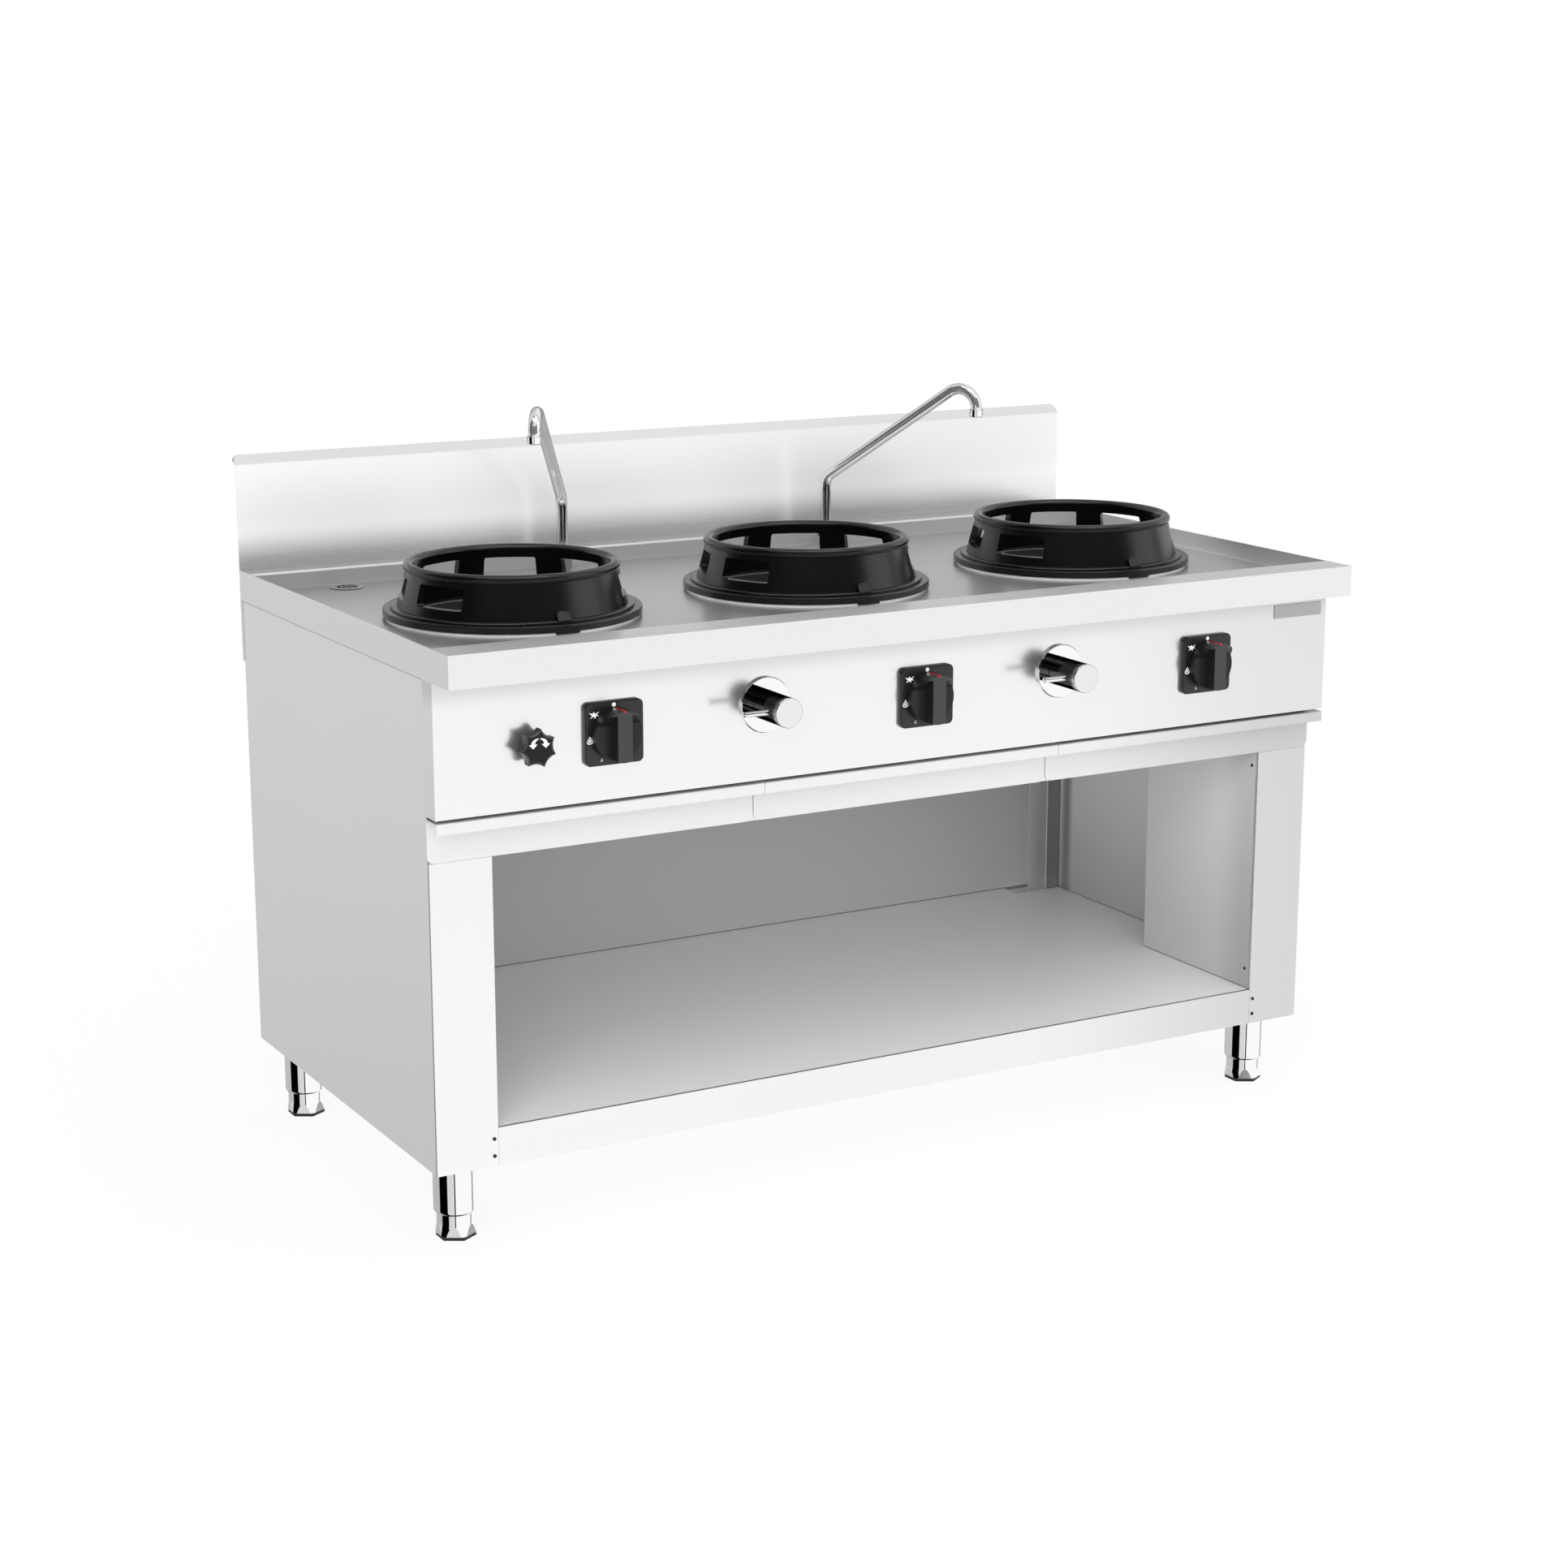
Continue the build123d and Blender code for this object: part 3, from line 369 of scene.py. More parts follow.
def satin_steel(name, colour, rough, grain="x", tone=None, metallic=0.85, seam_shade=None):
    """Satin stainless sheet with fine rolled grain along one axis, faint clouding and lines of painted shade
    along its seams.
    """
    material, finish, point, x, y, z = new_finish(name)
    stretch = tuple(0.01 if axis == grain else 1.0 for axis in "xyz")
    fine = finish.noise(point, scale=900.0, detail=1.0, stretch=stretch)
    broad = finish.noise(point, scale=3.0, detail=3.0)
    sheet = tone(finish, x, y, z) if tone else finish.blend(
        fine * 0.5 + broad * 0.5, colour, darker(colour, 0.985))
    # Painted shade: a dark line along each seam
    if seam_shade:
        sheet = finish.blend(seam_shade(x, y, z), sheet, darker(colour, 0.15))
    finish.shade(base_color=sheet, metallic=varied(metallic, x, y, z),
                 roughness=rough + (fine - 0.5) * 0.04 + (broad - 0.5) * 0.04,
                 normal=finish.bump(fine, strength=0.012, distance=0.2 * MM))
    return material


def chrome(name, edge=1.0, tone=None, metallic=1.0):
    """Bright chrome plate with the faintest ripple, darker at its edges where edge is low."""
    material, finish, point, x, y, z = new_finish(name)
    ripple = finish.noise(point, scale=60.0, detail=1.0)
    finish.shade(base_color=tone(finish, x, y, z) if tone else CHROME, metallic=varied(metallic, x, y, z),
                 roughness=0.03 + ripple * 0.02, specular_tint=(edge, edge, edge))
    return material


def cast_iron(name, colour, rough):
    """Satin black cast iron, with sand-cast grain and slightly polished high spots."""
    material, finish, point, *_ = new_finish(name)
    grain = finish.noise(point, scale=900.0, detail=3.0)
    broad = finish.noise(point, scale=18.0, detail=2.0)
    finish.shade(base_color=finish.blend(broad, colour, darker(colour, 1.6)),
                 roughness=rough + broad * 0.1 + grain * 0.05, specular_ior_level=0.65,
                 normal=finish.bump(grain * 0.6 + broad * 0.4, strength=0.1, distance=0.3 * MM))
    return material


def moulded(name, colour, rough, grain=2400.0, specular=0.75, coat=0.0):
    """Moulded plastic or rubber with a fine spark-eroded texture, and polished where it has a coat."""
    material, finish, point, x, y, z = new_finish(name)
    fine = finish.noise(point, grain, detail=2.0)
    finish.shade(base_color=finish.blend(fine, colour, darker(colour, 1.15)),
                 roughness=rough + (fine - 0.5) * 0.1, specular_ior_level=specular,
                 coat_weight=varied(coat, x, y, z), coat_roughness=0.25,
                 normal=finish.bump(fine, strength=0.08, distance=0.1 * MM))
    return material


def metal_bar(name, colour, rough):
    """Plain turned or drawn metal, such as brass fittings and steel pipe."""
    material, finish, point, *_ = new_finish(name)
    stain = finish.noise(point, scale=40.0, detail=3.0)
    finish.shade(base_color=finish.blend(stain, colour, darker(colour, 0.8)), metallic=1.0,
                 roughness=rough + stain * 0.12)
    return material


def printed(name, colour):
    """Flat printing ink."""
    material, finish, point, *_ = new_finish(name)
    speck = finish.noise(point, scale=3000.0, detail=1.0)
    finish.shade(base_color=finish.blend(speck, colour, darker(colour, 0.94)), roughness=0.5 + speck * 0.05)
    return material


# ---- Tones: painted light and shade in a finish's colour over a form ----


def rear_fold_highlight(x, y, z):
    """1 on the fold in front of the worktop's rear ledge, where a white line is painted as a highlight."""
    return (within(y, REAR_FOLD - 0.5 * MM, REAR_FOLD + 0.9 * MM, 0.5 * MM) *
            z.ramp(RIM - 4 * MM, RIM - 2 * MM) * 0.6)


def pan_shade_and_highlight(finish, x, y, z):
    """Worktop: bright on the rim, ledges and skirt; grey in the sunken pan as painted shade, and a painted
    white highlight on the rear fold.
    """
    deep = 1.0 - z.ramp(RIM - 14 * MM, RIM - 3 * MM)
    inside = (within(y, TOP_LOW.y + 58 * MM, TOP_HIGH.y - 48 * MM) *
              within(x, TOP_LOW.x + 8 * MM, TOP_HIGH.x - 8 * MM))
    sheet = finish.blend(deep * inside, darker(swatch("steel"), 0.92), swatch("pan"))
    return finish.blend(rear_fold_highlight(x, y, z), sheet, WHITE)


def splash_shade(finish, x, y, z):
    """Splashback: bright on the upright face, with painted shade that darkens it up and to the right and
    makes the lip grey.
    """
    splash, lip = swatch("splash"), swatch("lip")
    leaning = z.ramp(SPLASH_FOLD - MM, SPLASH_FOLD + MM)
    high = z.ramp(RIM + 20 * MM, RIM + 90 * MM)
    face = finish.blend(x.ramp(-0.2, 0.75) * 0.5 + high * 0.5, splash, darker(splash, 0.8))
    strip = finish.blend(x.ramp(-0.75, 0.0), darker(lip, 0.88), lip)
    return finish.blend(leaning, face, strip)


def right_end_shade(finish, x, y, z, share=0.76, whole=1.0):
    """Sheet with painted shade that darkens it a little towards the right end."""
    steel = darker(swatch("steel"), whole)
    return finish.blend(x.ramp(0.2, 0.75), steel, darker(steel, share))


def tray_shade(finish, x, y, z):
    """Drip trays: painted shade makes them a little darker than the panel above them, and darker to the
    right.
    """
    return right_end_shade(finish, x, y, z, share=0.72, whole=0.88)


def panel_shade(finish, x, y, z):
    """Control panel: painted shadow under the worktop's skirt, and painted shade that darkens it to the
    right.
    """
    under = z.ramp(PANEL_HIGH.z - 60 * MM, PANEL_HIGH.z - 25 * MM) * 0.5
    return finish.blend(under, right_end_shade(finish, x, y, z, share=0.86), darker(swatch("steel"), 0.6))


def behind_skirt(y):
    """0 on the shelf's front skirt, 1 on its top."""
    return y.ramp(SHELF_FRONT + 2 * MM, SHELF_FRONT + 8 * MM)


def shelf_joint_shade(z):
    """The joint where a wall stands on the shelf, as a line of painted shade."""
    return line_on(z, SHELF_TOP - 4 * MM, SHELF_TOP + 1.6 * MM)


def shelf_light_and_shade(finish, x, y, z):
    """Shelf: painted light makes its top bright behind the front skirt and brightest at the rear; the skirt
    has painted shade to the right.
    """
    shelf = swatch("shelf")
    top = finish.blend(y.ramp(-0.1, 0.35), darker(shelf, 0.94), darker(shelf, 1.05))
    return finish.blend(behind_skirt(y), right_end_shade(finish, x, y, z), top)


def post_shade(finish, x, y, z):
    """Front posts: painted shade darkens their inner faces downwards and towards the front."""
    steel = swatch("steel")
    across = y.ramp(POST_FRONT + 10 * MM, POST_FRONT + 110 * MM)
    up = z.ramp(SHELF_TOP, SHELF_TOP + 400 * MM)
    low = finish.blend(across, darker(steel, 0.45), darker(steel, 0.62))
    high = finish.blend(across, darker(steel, 0.7), darker(steel, 0.95))
    return finish.blend(y.ramp(POST_FRONT + 2 * MM, POST_FRONT + 4 * MM), right_end_shade(finish, x, y, z),
                        finish.blend(up, low, high))


def wall_shade(finish, x, y, z):
    """Right wall: painted shade darkens it low down inside and beside the rear angle; higher up, painted
    light makes it a little brighter.
    """
    steel = swatch("steel")
    wall = finish.blend(z.ramp(SHELF_TOP - 50 * MM, SHELF_TOP + 350 * MM), darker(steel, 0.55),
                        darker(steel, 1.12))
    wall = finish.blend(within(y, *ANGLE_SHADE, 10 * MM), wall, darker(steel, 0.3))
    return finish.blend(before(x, RIGHT_WALL), steel, wall)


def rear_angle_shade(finish, x, y, z):
    """Rear angles: painted shade darkens them in front of the face that lies on the back panel."""
    steel = swatch("steel")
    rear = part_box("rear_angles")[1].y
    return finish.blend(y.ramp(rear - 5 * MM, rear - 3 * MM), darker(steel, 0.3), steel)


def collar_shade(finish, x, y, z):
    """Collars: bright round their outer edge, and painted shade inside, dark where the windows would show it.
    """
    near = x.math("WRAP", x, BURNER_STEP / 2, -BURNER_STEP / 2)
    reach = distance(near, y - BURNER_ROW)
    return finish.blend(reach.ramp(COLLAR_BORE, COLLAR_BORE + 1.5 * MM), INSIDE_SHADE, CHROME)


def strainer_shade(finish, x, y, z):
    """Strainer: light round its edge, with painted shade that makes it greyer where it is pierced and dark in
    its holes.
    """
    pan = swatch("pan")
    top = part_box("drain_strainer")[1].z
    centre = middle_of("drain_strainer")
    pierced = 1.0 - distance(x - centre.x, y - centre.y).ramp(16 * MM, 20 * MM)
    sheet = finish.blend(pierced, pan, darker(pan, 0.4))
    return finish.blend(z.ramp(top - 0.4 * MM, top - 0.1 * MM), BLACK, sheet)


def tail_shade(finish, x, y, z):
    """Drain tail: painted shade makes it dark at its top, which shows through the strainer."""
    return finish.blend(z.ramp(RIM - 90 * MM, RIM - 60 * MM), swatch("steel"), BLACK)


def handle_reflection(finish, x, y, z):
    """Tap handles: a painted dark reflection round the side, towards the panel, and bright on the end."""
    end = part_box("tap_handle_left")[0].y
    return finish.blend(y.ramp(end + MM, end + 12 * MM), darker(CHROME, 0.88), darker(CHROME, 0.15))


def dress(node, material):
    """Gives a CAD node its finish."""
    mesh = NODES[node].data
    mesh.materials.clear()
    mesh.materials.append(material)


def dress_each(kind, sides, material):
    """Gives the like CAD nodes of several sides their finish."""
    for side in sides:
        dress(f"{kind}_{side}", material)


# ---- Meshes ----


def mesh_from(name, build, material=None):
    """A mesh from a function that fills a bmesh."""
    shape = bmesh.new()
    build(shape)
    bmesh.ops.remove_doubles(shape, verts=shape.verts, dist=1e-7)
    bmesh.ops.recalc_face_normals(shape, faces=shape.faces)
    mesh = bpy.data.meshes.new(name)
    shape.to_mesh(mesh)
    shape.free()
    if material:
        mesh.materials.append(material)
    return mesh


def add_object(name, content):
    """Puts an object in the scene."""
    made = bpy.data.objects.new(name, content)
    bpy.context.scene.collection.objects.link(made)
    return made


def place_piece(name, mesh, body):
    """Puts a finished mesh in the scene as a new piece that rides on a body."""
    piece = add_object(name, mesh)
    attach(piece, body)
    return piece


def round_pairs(count):
    """Each place in a closed loop with the next one."""
    return [(i, (i + 1) % count) for i in range(count)]


def prism(shape, outline, low, high, axis="y"):
    """A closed plate: an outline across an axis, between two places along it."""
    def corner(u, v, along):
        return shape.verts.new((u, along, v) if axis == "y" else (along, u, v))

    near = [corner(u, v, low) for u, v in outline]
    far = [corner(u, v, high) for u, v in outline]
    shape.faces.new(near)
    shape.faces.new(far[::-1])
    for i, j in round_pairs(len(outline)):
        shape.faces.new((near[i], far[i], far[j], near[j]))


def frame_strip(shape, outer, inner, low, high):
    """A closed ring between two outlines of equal count, across Y."""
    loops = [[shape.verts.new((u, y, v)) for u, v in outline]
             for y in (low, high) for outline in (outer, inner)]
    order = (loops[0], loops[1], loops[3], loops[2])
    for first, second in zip(order, (*order[1:], order[0])):
        for i, j in round_pairs(len(outer)):
            shape.faces.new((first[i], second[i], second[j], first[j]))


def circle(radius, count, centre=(0.0, 0.0)):
    """Points round a circle."""
    turns = [math.tau * i / count for i in range(count)]
    return [(centre[0] + radius * math.cos(turn), centre[1] + radius * math.sin(turn)) for turn in turns]


def drop(width, height, centre):
    """Points round a flame-like drop with its tip up."""
    count = 28
    widest = 0.6495  # the most that the product of sines below comes to
    return [(centre[0] + width / 2 / widest * math.sin(turn) * math.sin(turn / 2) ** 2,
             centre[1] + height / 2 * math.cos(turn))
            for turn in [math.tau * i / count for i in range(count)]]


def star_outline(inset):
    """Points round the star knob, inset from its edge, with hollow sides."""
    steps = 10
    radius = STAR_RADIUS - inset
    waist = STAR_RADIUS * STAR_WAIST - inset
    half = math.pi / STAR_POINTS
    centre = (radius ** 2 - waist ** 2) / (2 * (radius * math.cos(half) - waist))
    bow = centre - waist
    spread = math.asin(radius * math.sin(half) / bow)
    points = []
    for tip in STAR_TIPS:
        cleft = tip + half
        for i in range(steps):
            turn = spread * (2 * i / steps - 1)
            across, along = bow * math.sin(turn), centre - bow * math.cos(turn)
            points.append((STAR_CENTRE.x + along * math.cos(cleft) - across * math.sin(cleft),
                           STAR_CENTRE.z + along * math.sin(cleft) + across * math.cos(cleft)))
    return points


# ---- Geometry Nodes ----


def pattern_tree(name, sockets):
    """An empty Geometry Nodes tree, its builder and its named inputs."""
    group = bpy.data.node_groups.new(name, "GeometryNodeTree")
    for label, kind in {"Geometry": "NodeSocketGeometry", **sockets}.items():
        group.interface.new_socket(label, in_out="INPUT", socket_type=kind)
    group.interface.new_socket("Geometry", in_out="OUTPUT", socket_type="NodeSocketGeometry")
    tree = Tree(group)
    source = group.nodes.new("NodeGroupInput")
    inputs = {label: Wire(tree, source.outputs[label]) for label in ("Geometry", *sockets)}
    return group, tree, inputs


def end_pattern(tree, copies, material):
    """Realizes the copies and gives them their finish."""
    real = tree.node("GeometryNodeRealizeInstances", inputs={0: copies})
    dressed = tree.node("GeometryNodeSetMaterial", inputs={"Geometry": real, "Material": material})
    tree.nodes.links.new(dressed.socket, tree.nodes.nodes.new("NodeGroupOutput").inputs[0])


def row_tree():
    """Copies of one part in a straight row."""
    group, tree, inputs = pattern_tree("row_of_parts", {
        "Part": "NodeSocketObject", "Count": "NodeSocketInt", "Step": "NodeSocketVector",
        "Finish": "NodeSocketMaterial"})
    row = tree.node("GeometryNodeMeshLine", {"mode": "OFFSET"}, {
        "Count": inputs["Count"], "Offset": inputs["Step"]})
    part = tree.node("GeometryNodeObjectInfo", inputs={"Object": inputs["Part"]}, output="Geometry")
    copies = tree.node("GeometryNodeInstanceOnPoints", inputs={"Points": row, "Instance": part})
    end_pattern(tree, copies, inputs["Finish"])
    return group


def seat_tree():
    """Copies of one part on given seats, each turned along its seat's axis."""
    group, tree, inputs = pattern_tree("parts_on_seats", {
        "Part": "NodeSocketObject", "Size": "NodeSocketFloat", "Finish": "NodeSocketMaterial"})
    axis = tree.node("GeometryNodeInputNamedAttribute", {"data_type": "FLOAT_VECTOR"}, {"Name": "axis"})
    turn = tree.node("FunctionNodeAlignRotationToVector", {"axis": "Z"}, {"Vector": axis})
    part = tree.node("GeometryNodeObjectInfo", inputs={"Object": inputs["Part"]}, output="Geometry")
    copies = tree.node("GeometryNodeInstanceOnPoints", inputs={
        "Points": inputs["Geometry"], "Instance": part, "Rotation": turn, "Scale": inputs["Size"]})
    end_pattern(tree, copies, inputs["Finish"])
    return group


def grow(name, group, base, **values):
    """The plain mesh that a Geometry Nodes tree makes from a base mesh and its named inputs."""
    host = add_object(name, base)
    modifier = host.modifiers.new(name, "NODES")
    modifier.node_group = group
    for item in group.interface.items_tree:
        if item.in_out == "INPUT" and item.name in values:
            modifier[item.identifier] = values[item.name]
    graph = bpy.context.evaluated_depsgraph_get()
    mesh = bpy.data.meshes.new_from_object(host.evaluated_get(graph), depsgraph=graph)
    mesh.name = name
    host.modifiers.remove(modifier)
    bpy.data.objects.remove(host)
    return mesh


# ---- Operators ----


def looking(place, way):
    """The matrix of a camera or lamp at a place that looks one way."""
    return Matrix.Translation(place) @ way.to_track_quat("-Z", "Y").to_matrix().to_4x4()


class RANGE_OT_studio(bpy.types.Operator):
    """Makes the camera, the floor, the world and the lamps"""

    bl_idname = "wok_range.studio"
    bl_label = "Studio"

    def execute(self, context):
        scene = context.scene
        studio = scene.range_studio
        scene.view_settings.view_transform = "Standard"
        lens = bpy.data.cameras.new("studio_camera")
        lens.sensor_width = 36.0
        lens.lens = studio.lens
        lens.clip_end = 100.0
        scene.camera = add_object("studio_camera", lens)
        level = math.cos(studio.pitch)
        scene.camera.matrix_world = looking(studio.eye, Vector((
            math.sin(studio.yaw) * level, math.cos(studio.yaw) * level, -math.sin(studio.pitch))))
        self.floor(context)
        self.world(context)
        self.lamps(context)
        return {"FINISHED"}

    def floor(self, context):
        """A matt floor that turns plain white round the range, and that metal sees through to the studio."""
        studio = context.scene.range_studio
        half, drop_below = studio.floor_size / 2, 0.5 * MM
        shape = bmesh.new()
        shape.faces.new([shape.verts.new((x * half, y * half, -drop_below))
                         for x, y in ((-1, -1), (1, -1), (1, 1), (-1, 1))])
        mesh = bpy.data.meshes.new("studio_floor")
        shape.to_mesh(mesh)
        shape.free()
        material, finish, point, *_ = new_finish("studio_white")
        mesh.materials.append(material)
        reach = finish.node("ShaderNodeVectorMath", {"operation": "LENGTH"}, {0: point}, output="Value")
        fade = reach.ramp(studio.fade_start, studio.fade_end)
        matt = finish.node("ShaderNodeBsdfDiffuse", inputs={"Color": (0.93, 0.93, 0.93)})
        white = finish.node("ShaderNodeEmission", inputs={"Color": WHITE, "Strength": 1.0})
        seen = finish.node("ShaderNodeMixShader", inputs={
            0: fade * (1.0 - studio.floor_white) + studio.floor_white, 1: matt, 2: white})
        mirrored = finish.node("ShaderNodeLightPath", output="Is Glossy Ray")
        clear = finish.node("ShaderNodeBsdfTransparent")
        finish.end("ShaderNodeOutputMaterial", finish.node("ShaderNodeMixShader", inputs={
            0: mirrored, 1: seen, 2: clear}))
        add_object("studio_floor", mesh)

    def world(self, context):
        """White for the camera, an even fill for matt surfaces, and walls and flags for metal to mirror."""
        studio = context.scene.range_studio
        world = bpy.data.worlds.new("studio_world")
        context.scene.world = world
        finish = Finish(world)
        _, x, y, z = finish.place("Generated")
        flat = distance(x, y)

        def sector(bearing, half_width, edge):
            """1 within a half width of a bearing, and 0 beyond its soft edge."""
            turn = math.radians(bearing)
            facing = (x * math.cos(turn) + y * math.sin(turn)) / flat
            return facing.ramp(math.cos(math.radians(half_width + edge)), math.cos(math.radians(half_width)))

        strength = 1.0 - sector(*LEFT_WALL) * studio.left_dim
        strength *= 1.0 - sector(*REAR_WALL) * within(z, -0.1, 0.5, 0.1) * studio.rear_dim
        strength *= 1.0 - sector(*LEFT_FOOT) * (1.0 - z.ramp(-0.45, -0.1)) * studio.left_low_dim
        for *flag, depth in FLAGS:
            strength *= 1.0 - sector(*flag) * depth
        strength *= z.ramp(-0.97, -0.75)
        strength *= 1.0 - sector(*CAMERA_SIDE) * within(z, 0.03, 0.6, 0.06) * studio.upper_dim
        strength *= 1.0 - z.ramp(0.55, 0.8) * studio.ceiling_dim
        strength += sector(*CEILING_BOX) * within(z, 0.85, 0.93, 0.02) * studio.ceiling_band
        front = (x * -0.45 - y * 0.9).ramp(0.4, 0.95) * (1.0 - z.ramp(0.35, 0.7))
        soft = front * studio.front_fill + studio.fill
        seen = finish.node("ShaderNodeLightPath", output="Is Camera Ray")
        gloss = finish.node("ShaderNodeLightPath", output="Is Glossy Ray")
        finish.end("ShaderNodeOutputWorld", finish.node("ShaderNodeBackground", inputs={
            "Color": WHITE, "Strength": seen + (1.0 - seen) * (gloss * strength + (1.0 - gloss) * soft)}))

    def lamps(self, context):
        """Square lamps that light matt surfaces and that metal doesn't mirror."""
        for name, place, size, power in LAMPS:
            light = bpy.data.lights.new(name, "AREA")
            light.shape = "SQUARE"
            light.size = size
            light.energy = power
            lamp = add_object(name, light)
            lamp.visible_glossy = False
            lamp.matrix_world = looking(place, LAMP_AIM - Vector(place))


class RANGE_OT_sheets(bpy.types.Operator):
    """Gives the sheet steel cabinet, the burner collars and the drain their satin finishes"""

    bl_idname = "wok_range.sheets"
    bl_label = "Sheet steel"

    def execute(self, context):
        steel, rough = swatch("steel"), context.scene.range_finish.steel_rough
        dress("tray_frame", satin_steel("satin_sheet_across", steel, rough))
        dress("side_rails", satin_steel("satin_sheet_along", steel, rough, "y"))
        # The worktop's sunken pan is painted grey as shade, and its rear fold is painted white as a
        # highlight, with less metal there
        dress("worktop", satin_steel(
            "satin_worktop", steel, 0.3, tone=pan_shade_and_highlight,
            metallic=lambda x, y, z: 0.85 - rear_fold_highlight(x, y, z) * 0.8))
        dress("splashback", satin_steel(
            "satin_splash", steel, 0.24, tone=splash_shade,
            metallic=lambda x, y, z: 0.92 - z.ramp(RIM - 5 * MM, RIM + 65 * MM) * 0.67))
        dress("control_panel", satin_steel("satin_panel", steel, 0.21, tone=panel_shade, metallic=0.93))
        dress("drain_tail", satin_steel("satin_tail", steel, rough, "z", tail_shade))
        dress_each("drip_tray", SIDES, satin_steel("satin_tray", steel, rough, tone=tray_shade, metallic=0.6))
        dress("drain_strainer", satin_steel("satin_strainer", swatch("pan"), rough, tone=strainer_shade))
        dress("burner_collars", satin_steel("satin_collar", steel, 0.22, tone=collar_shade, metallic=0.35))
        # The shelf: painted light on its top, and a line of painted shade in the fold behind its skirt
        dress("undershelf", satin_steel(
            "satin_shelf", steel, 0.42, tone=shelf_light_and_shade,
            metallic=lambda x, y, z: 0.85 - behind_skirt(y) * 0.7,
            seam_shade=lambda x, y, z: line_on(y, SHELF_FRONT + 1.2 * MM, SHELF_FRONT + 5 * MM)))
        # Lines of painted shade where the back, the right wall and the posts stand on the shelf
        dress("back_panel", satin_steel(
            "satin_back", swatch("back"), 0.55, metallic=0.2,
            seam_shade=lambda x, y, z: shelf_joint_shade(z) * before(y, BACK_WALL)))
        # Lines of painted shadow on the left side, under the worktop's skirt and along its front edge
        dress("side_panel_left", satin_steel(
            "satin_left_side", steel, rough, "y", seam_shade=lambda x, y, z: z.math(
                "MAXIMUM", line_on(z, SIDE_HIGH.z - 2.4 * MM, SIDE_HIGH.z + 2 * MM),
                line_on(y, SIDE_LOW.y - 2 * MM, SIDE_LOW.y + 3.5 * MM))))
        dress("side_panel_right", satin_steel(
            "satin_right_side", steel, 0.32, "y", wall_shade,
            metallic=lambda x, y, z: 0.85 - before(x, RIGHT_WALL) * 0.6,
            seam_shade=lambda x, y, z: shelf_joint_shade(z) * before(x, RIGHT_WALL)))
        dress_each("post", PAIR, satin_steel(
            "satin_posts", steel, rough, "z", post_shade,
            metallic=lambda x, y, z: 0.85 - y.ramp(POST_FRONT + 2 * MM, POST_FRONT + 8 * MM) * 0.6,
            seam_shade=lambda x, y, z: shelf_joint_shade(z) * y.ramp(POST_FRONT + MM, POST_FRONT + 3 * MM)))
        dress("rear_angles", satin_steel("satin_angles", steel, rough, "z", rear_angle_shade))
        return {"FINISHED"}


class RANGE_OT_burners(bpy.types.Operator):
    """Gives the wok rings, bowls and burners their cast iron and dulled metal"""

    bl_idname = "wok_range.burners"
    bl_label = "Burners"

    def execute(self, context):
        iron = swatch("iron")
        dress_each("wok_ring", SIDES, cast_iron("satin_cast_iron", iron, 0.18))
        sooty = cast_iron("sooty_cast_iron", darker(iron, 0.7), 0.6)
        for node in ("burner_heads", "burner_bowls"):
            dress(node, sooty)
        dress("burner_brackets", metal_bar("bracket_steel", (0.35, 0.35, 0.35), 0.4))
        dress("pilot_burners", metal_bar("dull_brass", (0.4, 0.3, 0.14), 0.4))
        return {"FINISHED"}


class RANGE_OT_brightwork(bpy.types.Operator):
    """Gives legs, spouts and taps their chrome, pipework its brass and steel, and feet their rubber"""

    bl_idname = "wok_range.brightwork"
    bl_label = "Chrome and pipework"

    def execute(self, context):
        bright = chrome("bright_chrome")
        for node in ("leg_tubes", "tap_rosettes"):
            dress(node, bright)
        for kind in ("tap_lever", "foot_front", "foot_rear"):
            dress_each(kind, PAIR, bright)
        tube = chrome("chrome_tube", 0.1)
        dress("spout_nuts", tube)
        dress_each("nozzle", PAIR, tube)
        swan = chrome("spout_chrome", 0.3, metallic=lambda x, y, z: (
            1.0 - z.ramp(SPOUT_BEND, SPOUT_BEND + 16 * MM) * 0.1))
        dress_each("spout", PAIR, swan)
        dress_each("tap_handle", PAIR, chrome("handle_chrome", 0.1, handle_reflection))
        brass = metal_bar("brass_fitting", (0.62, 0.45, 0.2), 0.28)
        for node in ("gas_valves", "water_valves", "gas_pipes", "water_pipes", "water_inlet"):
            dress(node, brass)
        dress_each("gas_stem", SIDES, brass)
        dress("gas_manifold", metal_bar("steel_pipe", (0.5, 0.5, 0.5), 0.35))
        rubber = moulded("foot_rubber", (0.012, 0.012, 0.012), 0.6, grain=1200.0)
        for kind in ("pad_front", "pad_rear"):
            dress_each(kind, PAIR, rubber)
        return {"FINISHED"}


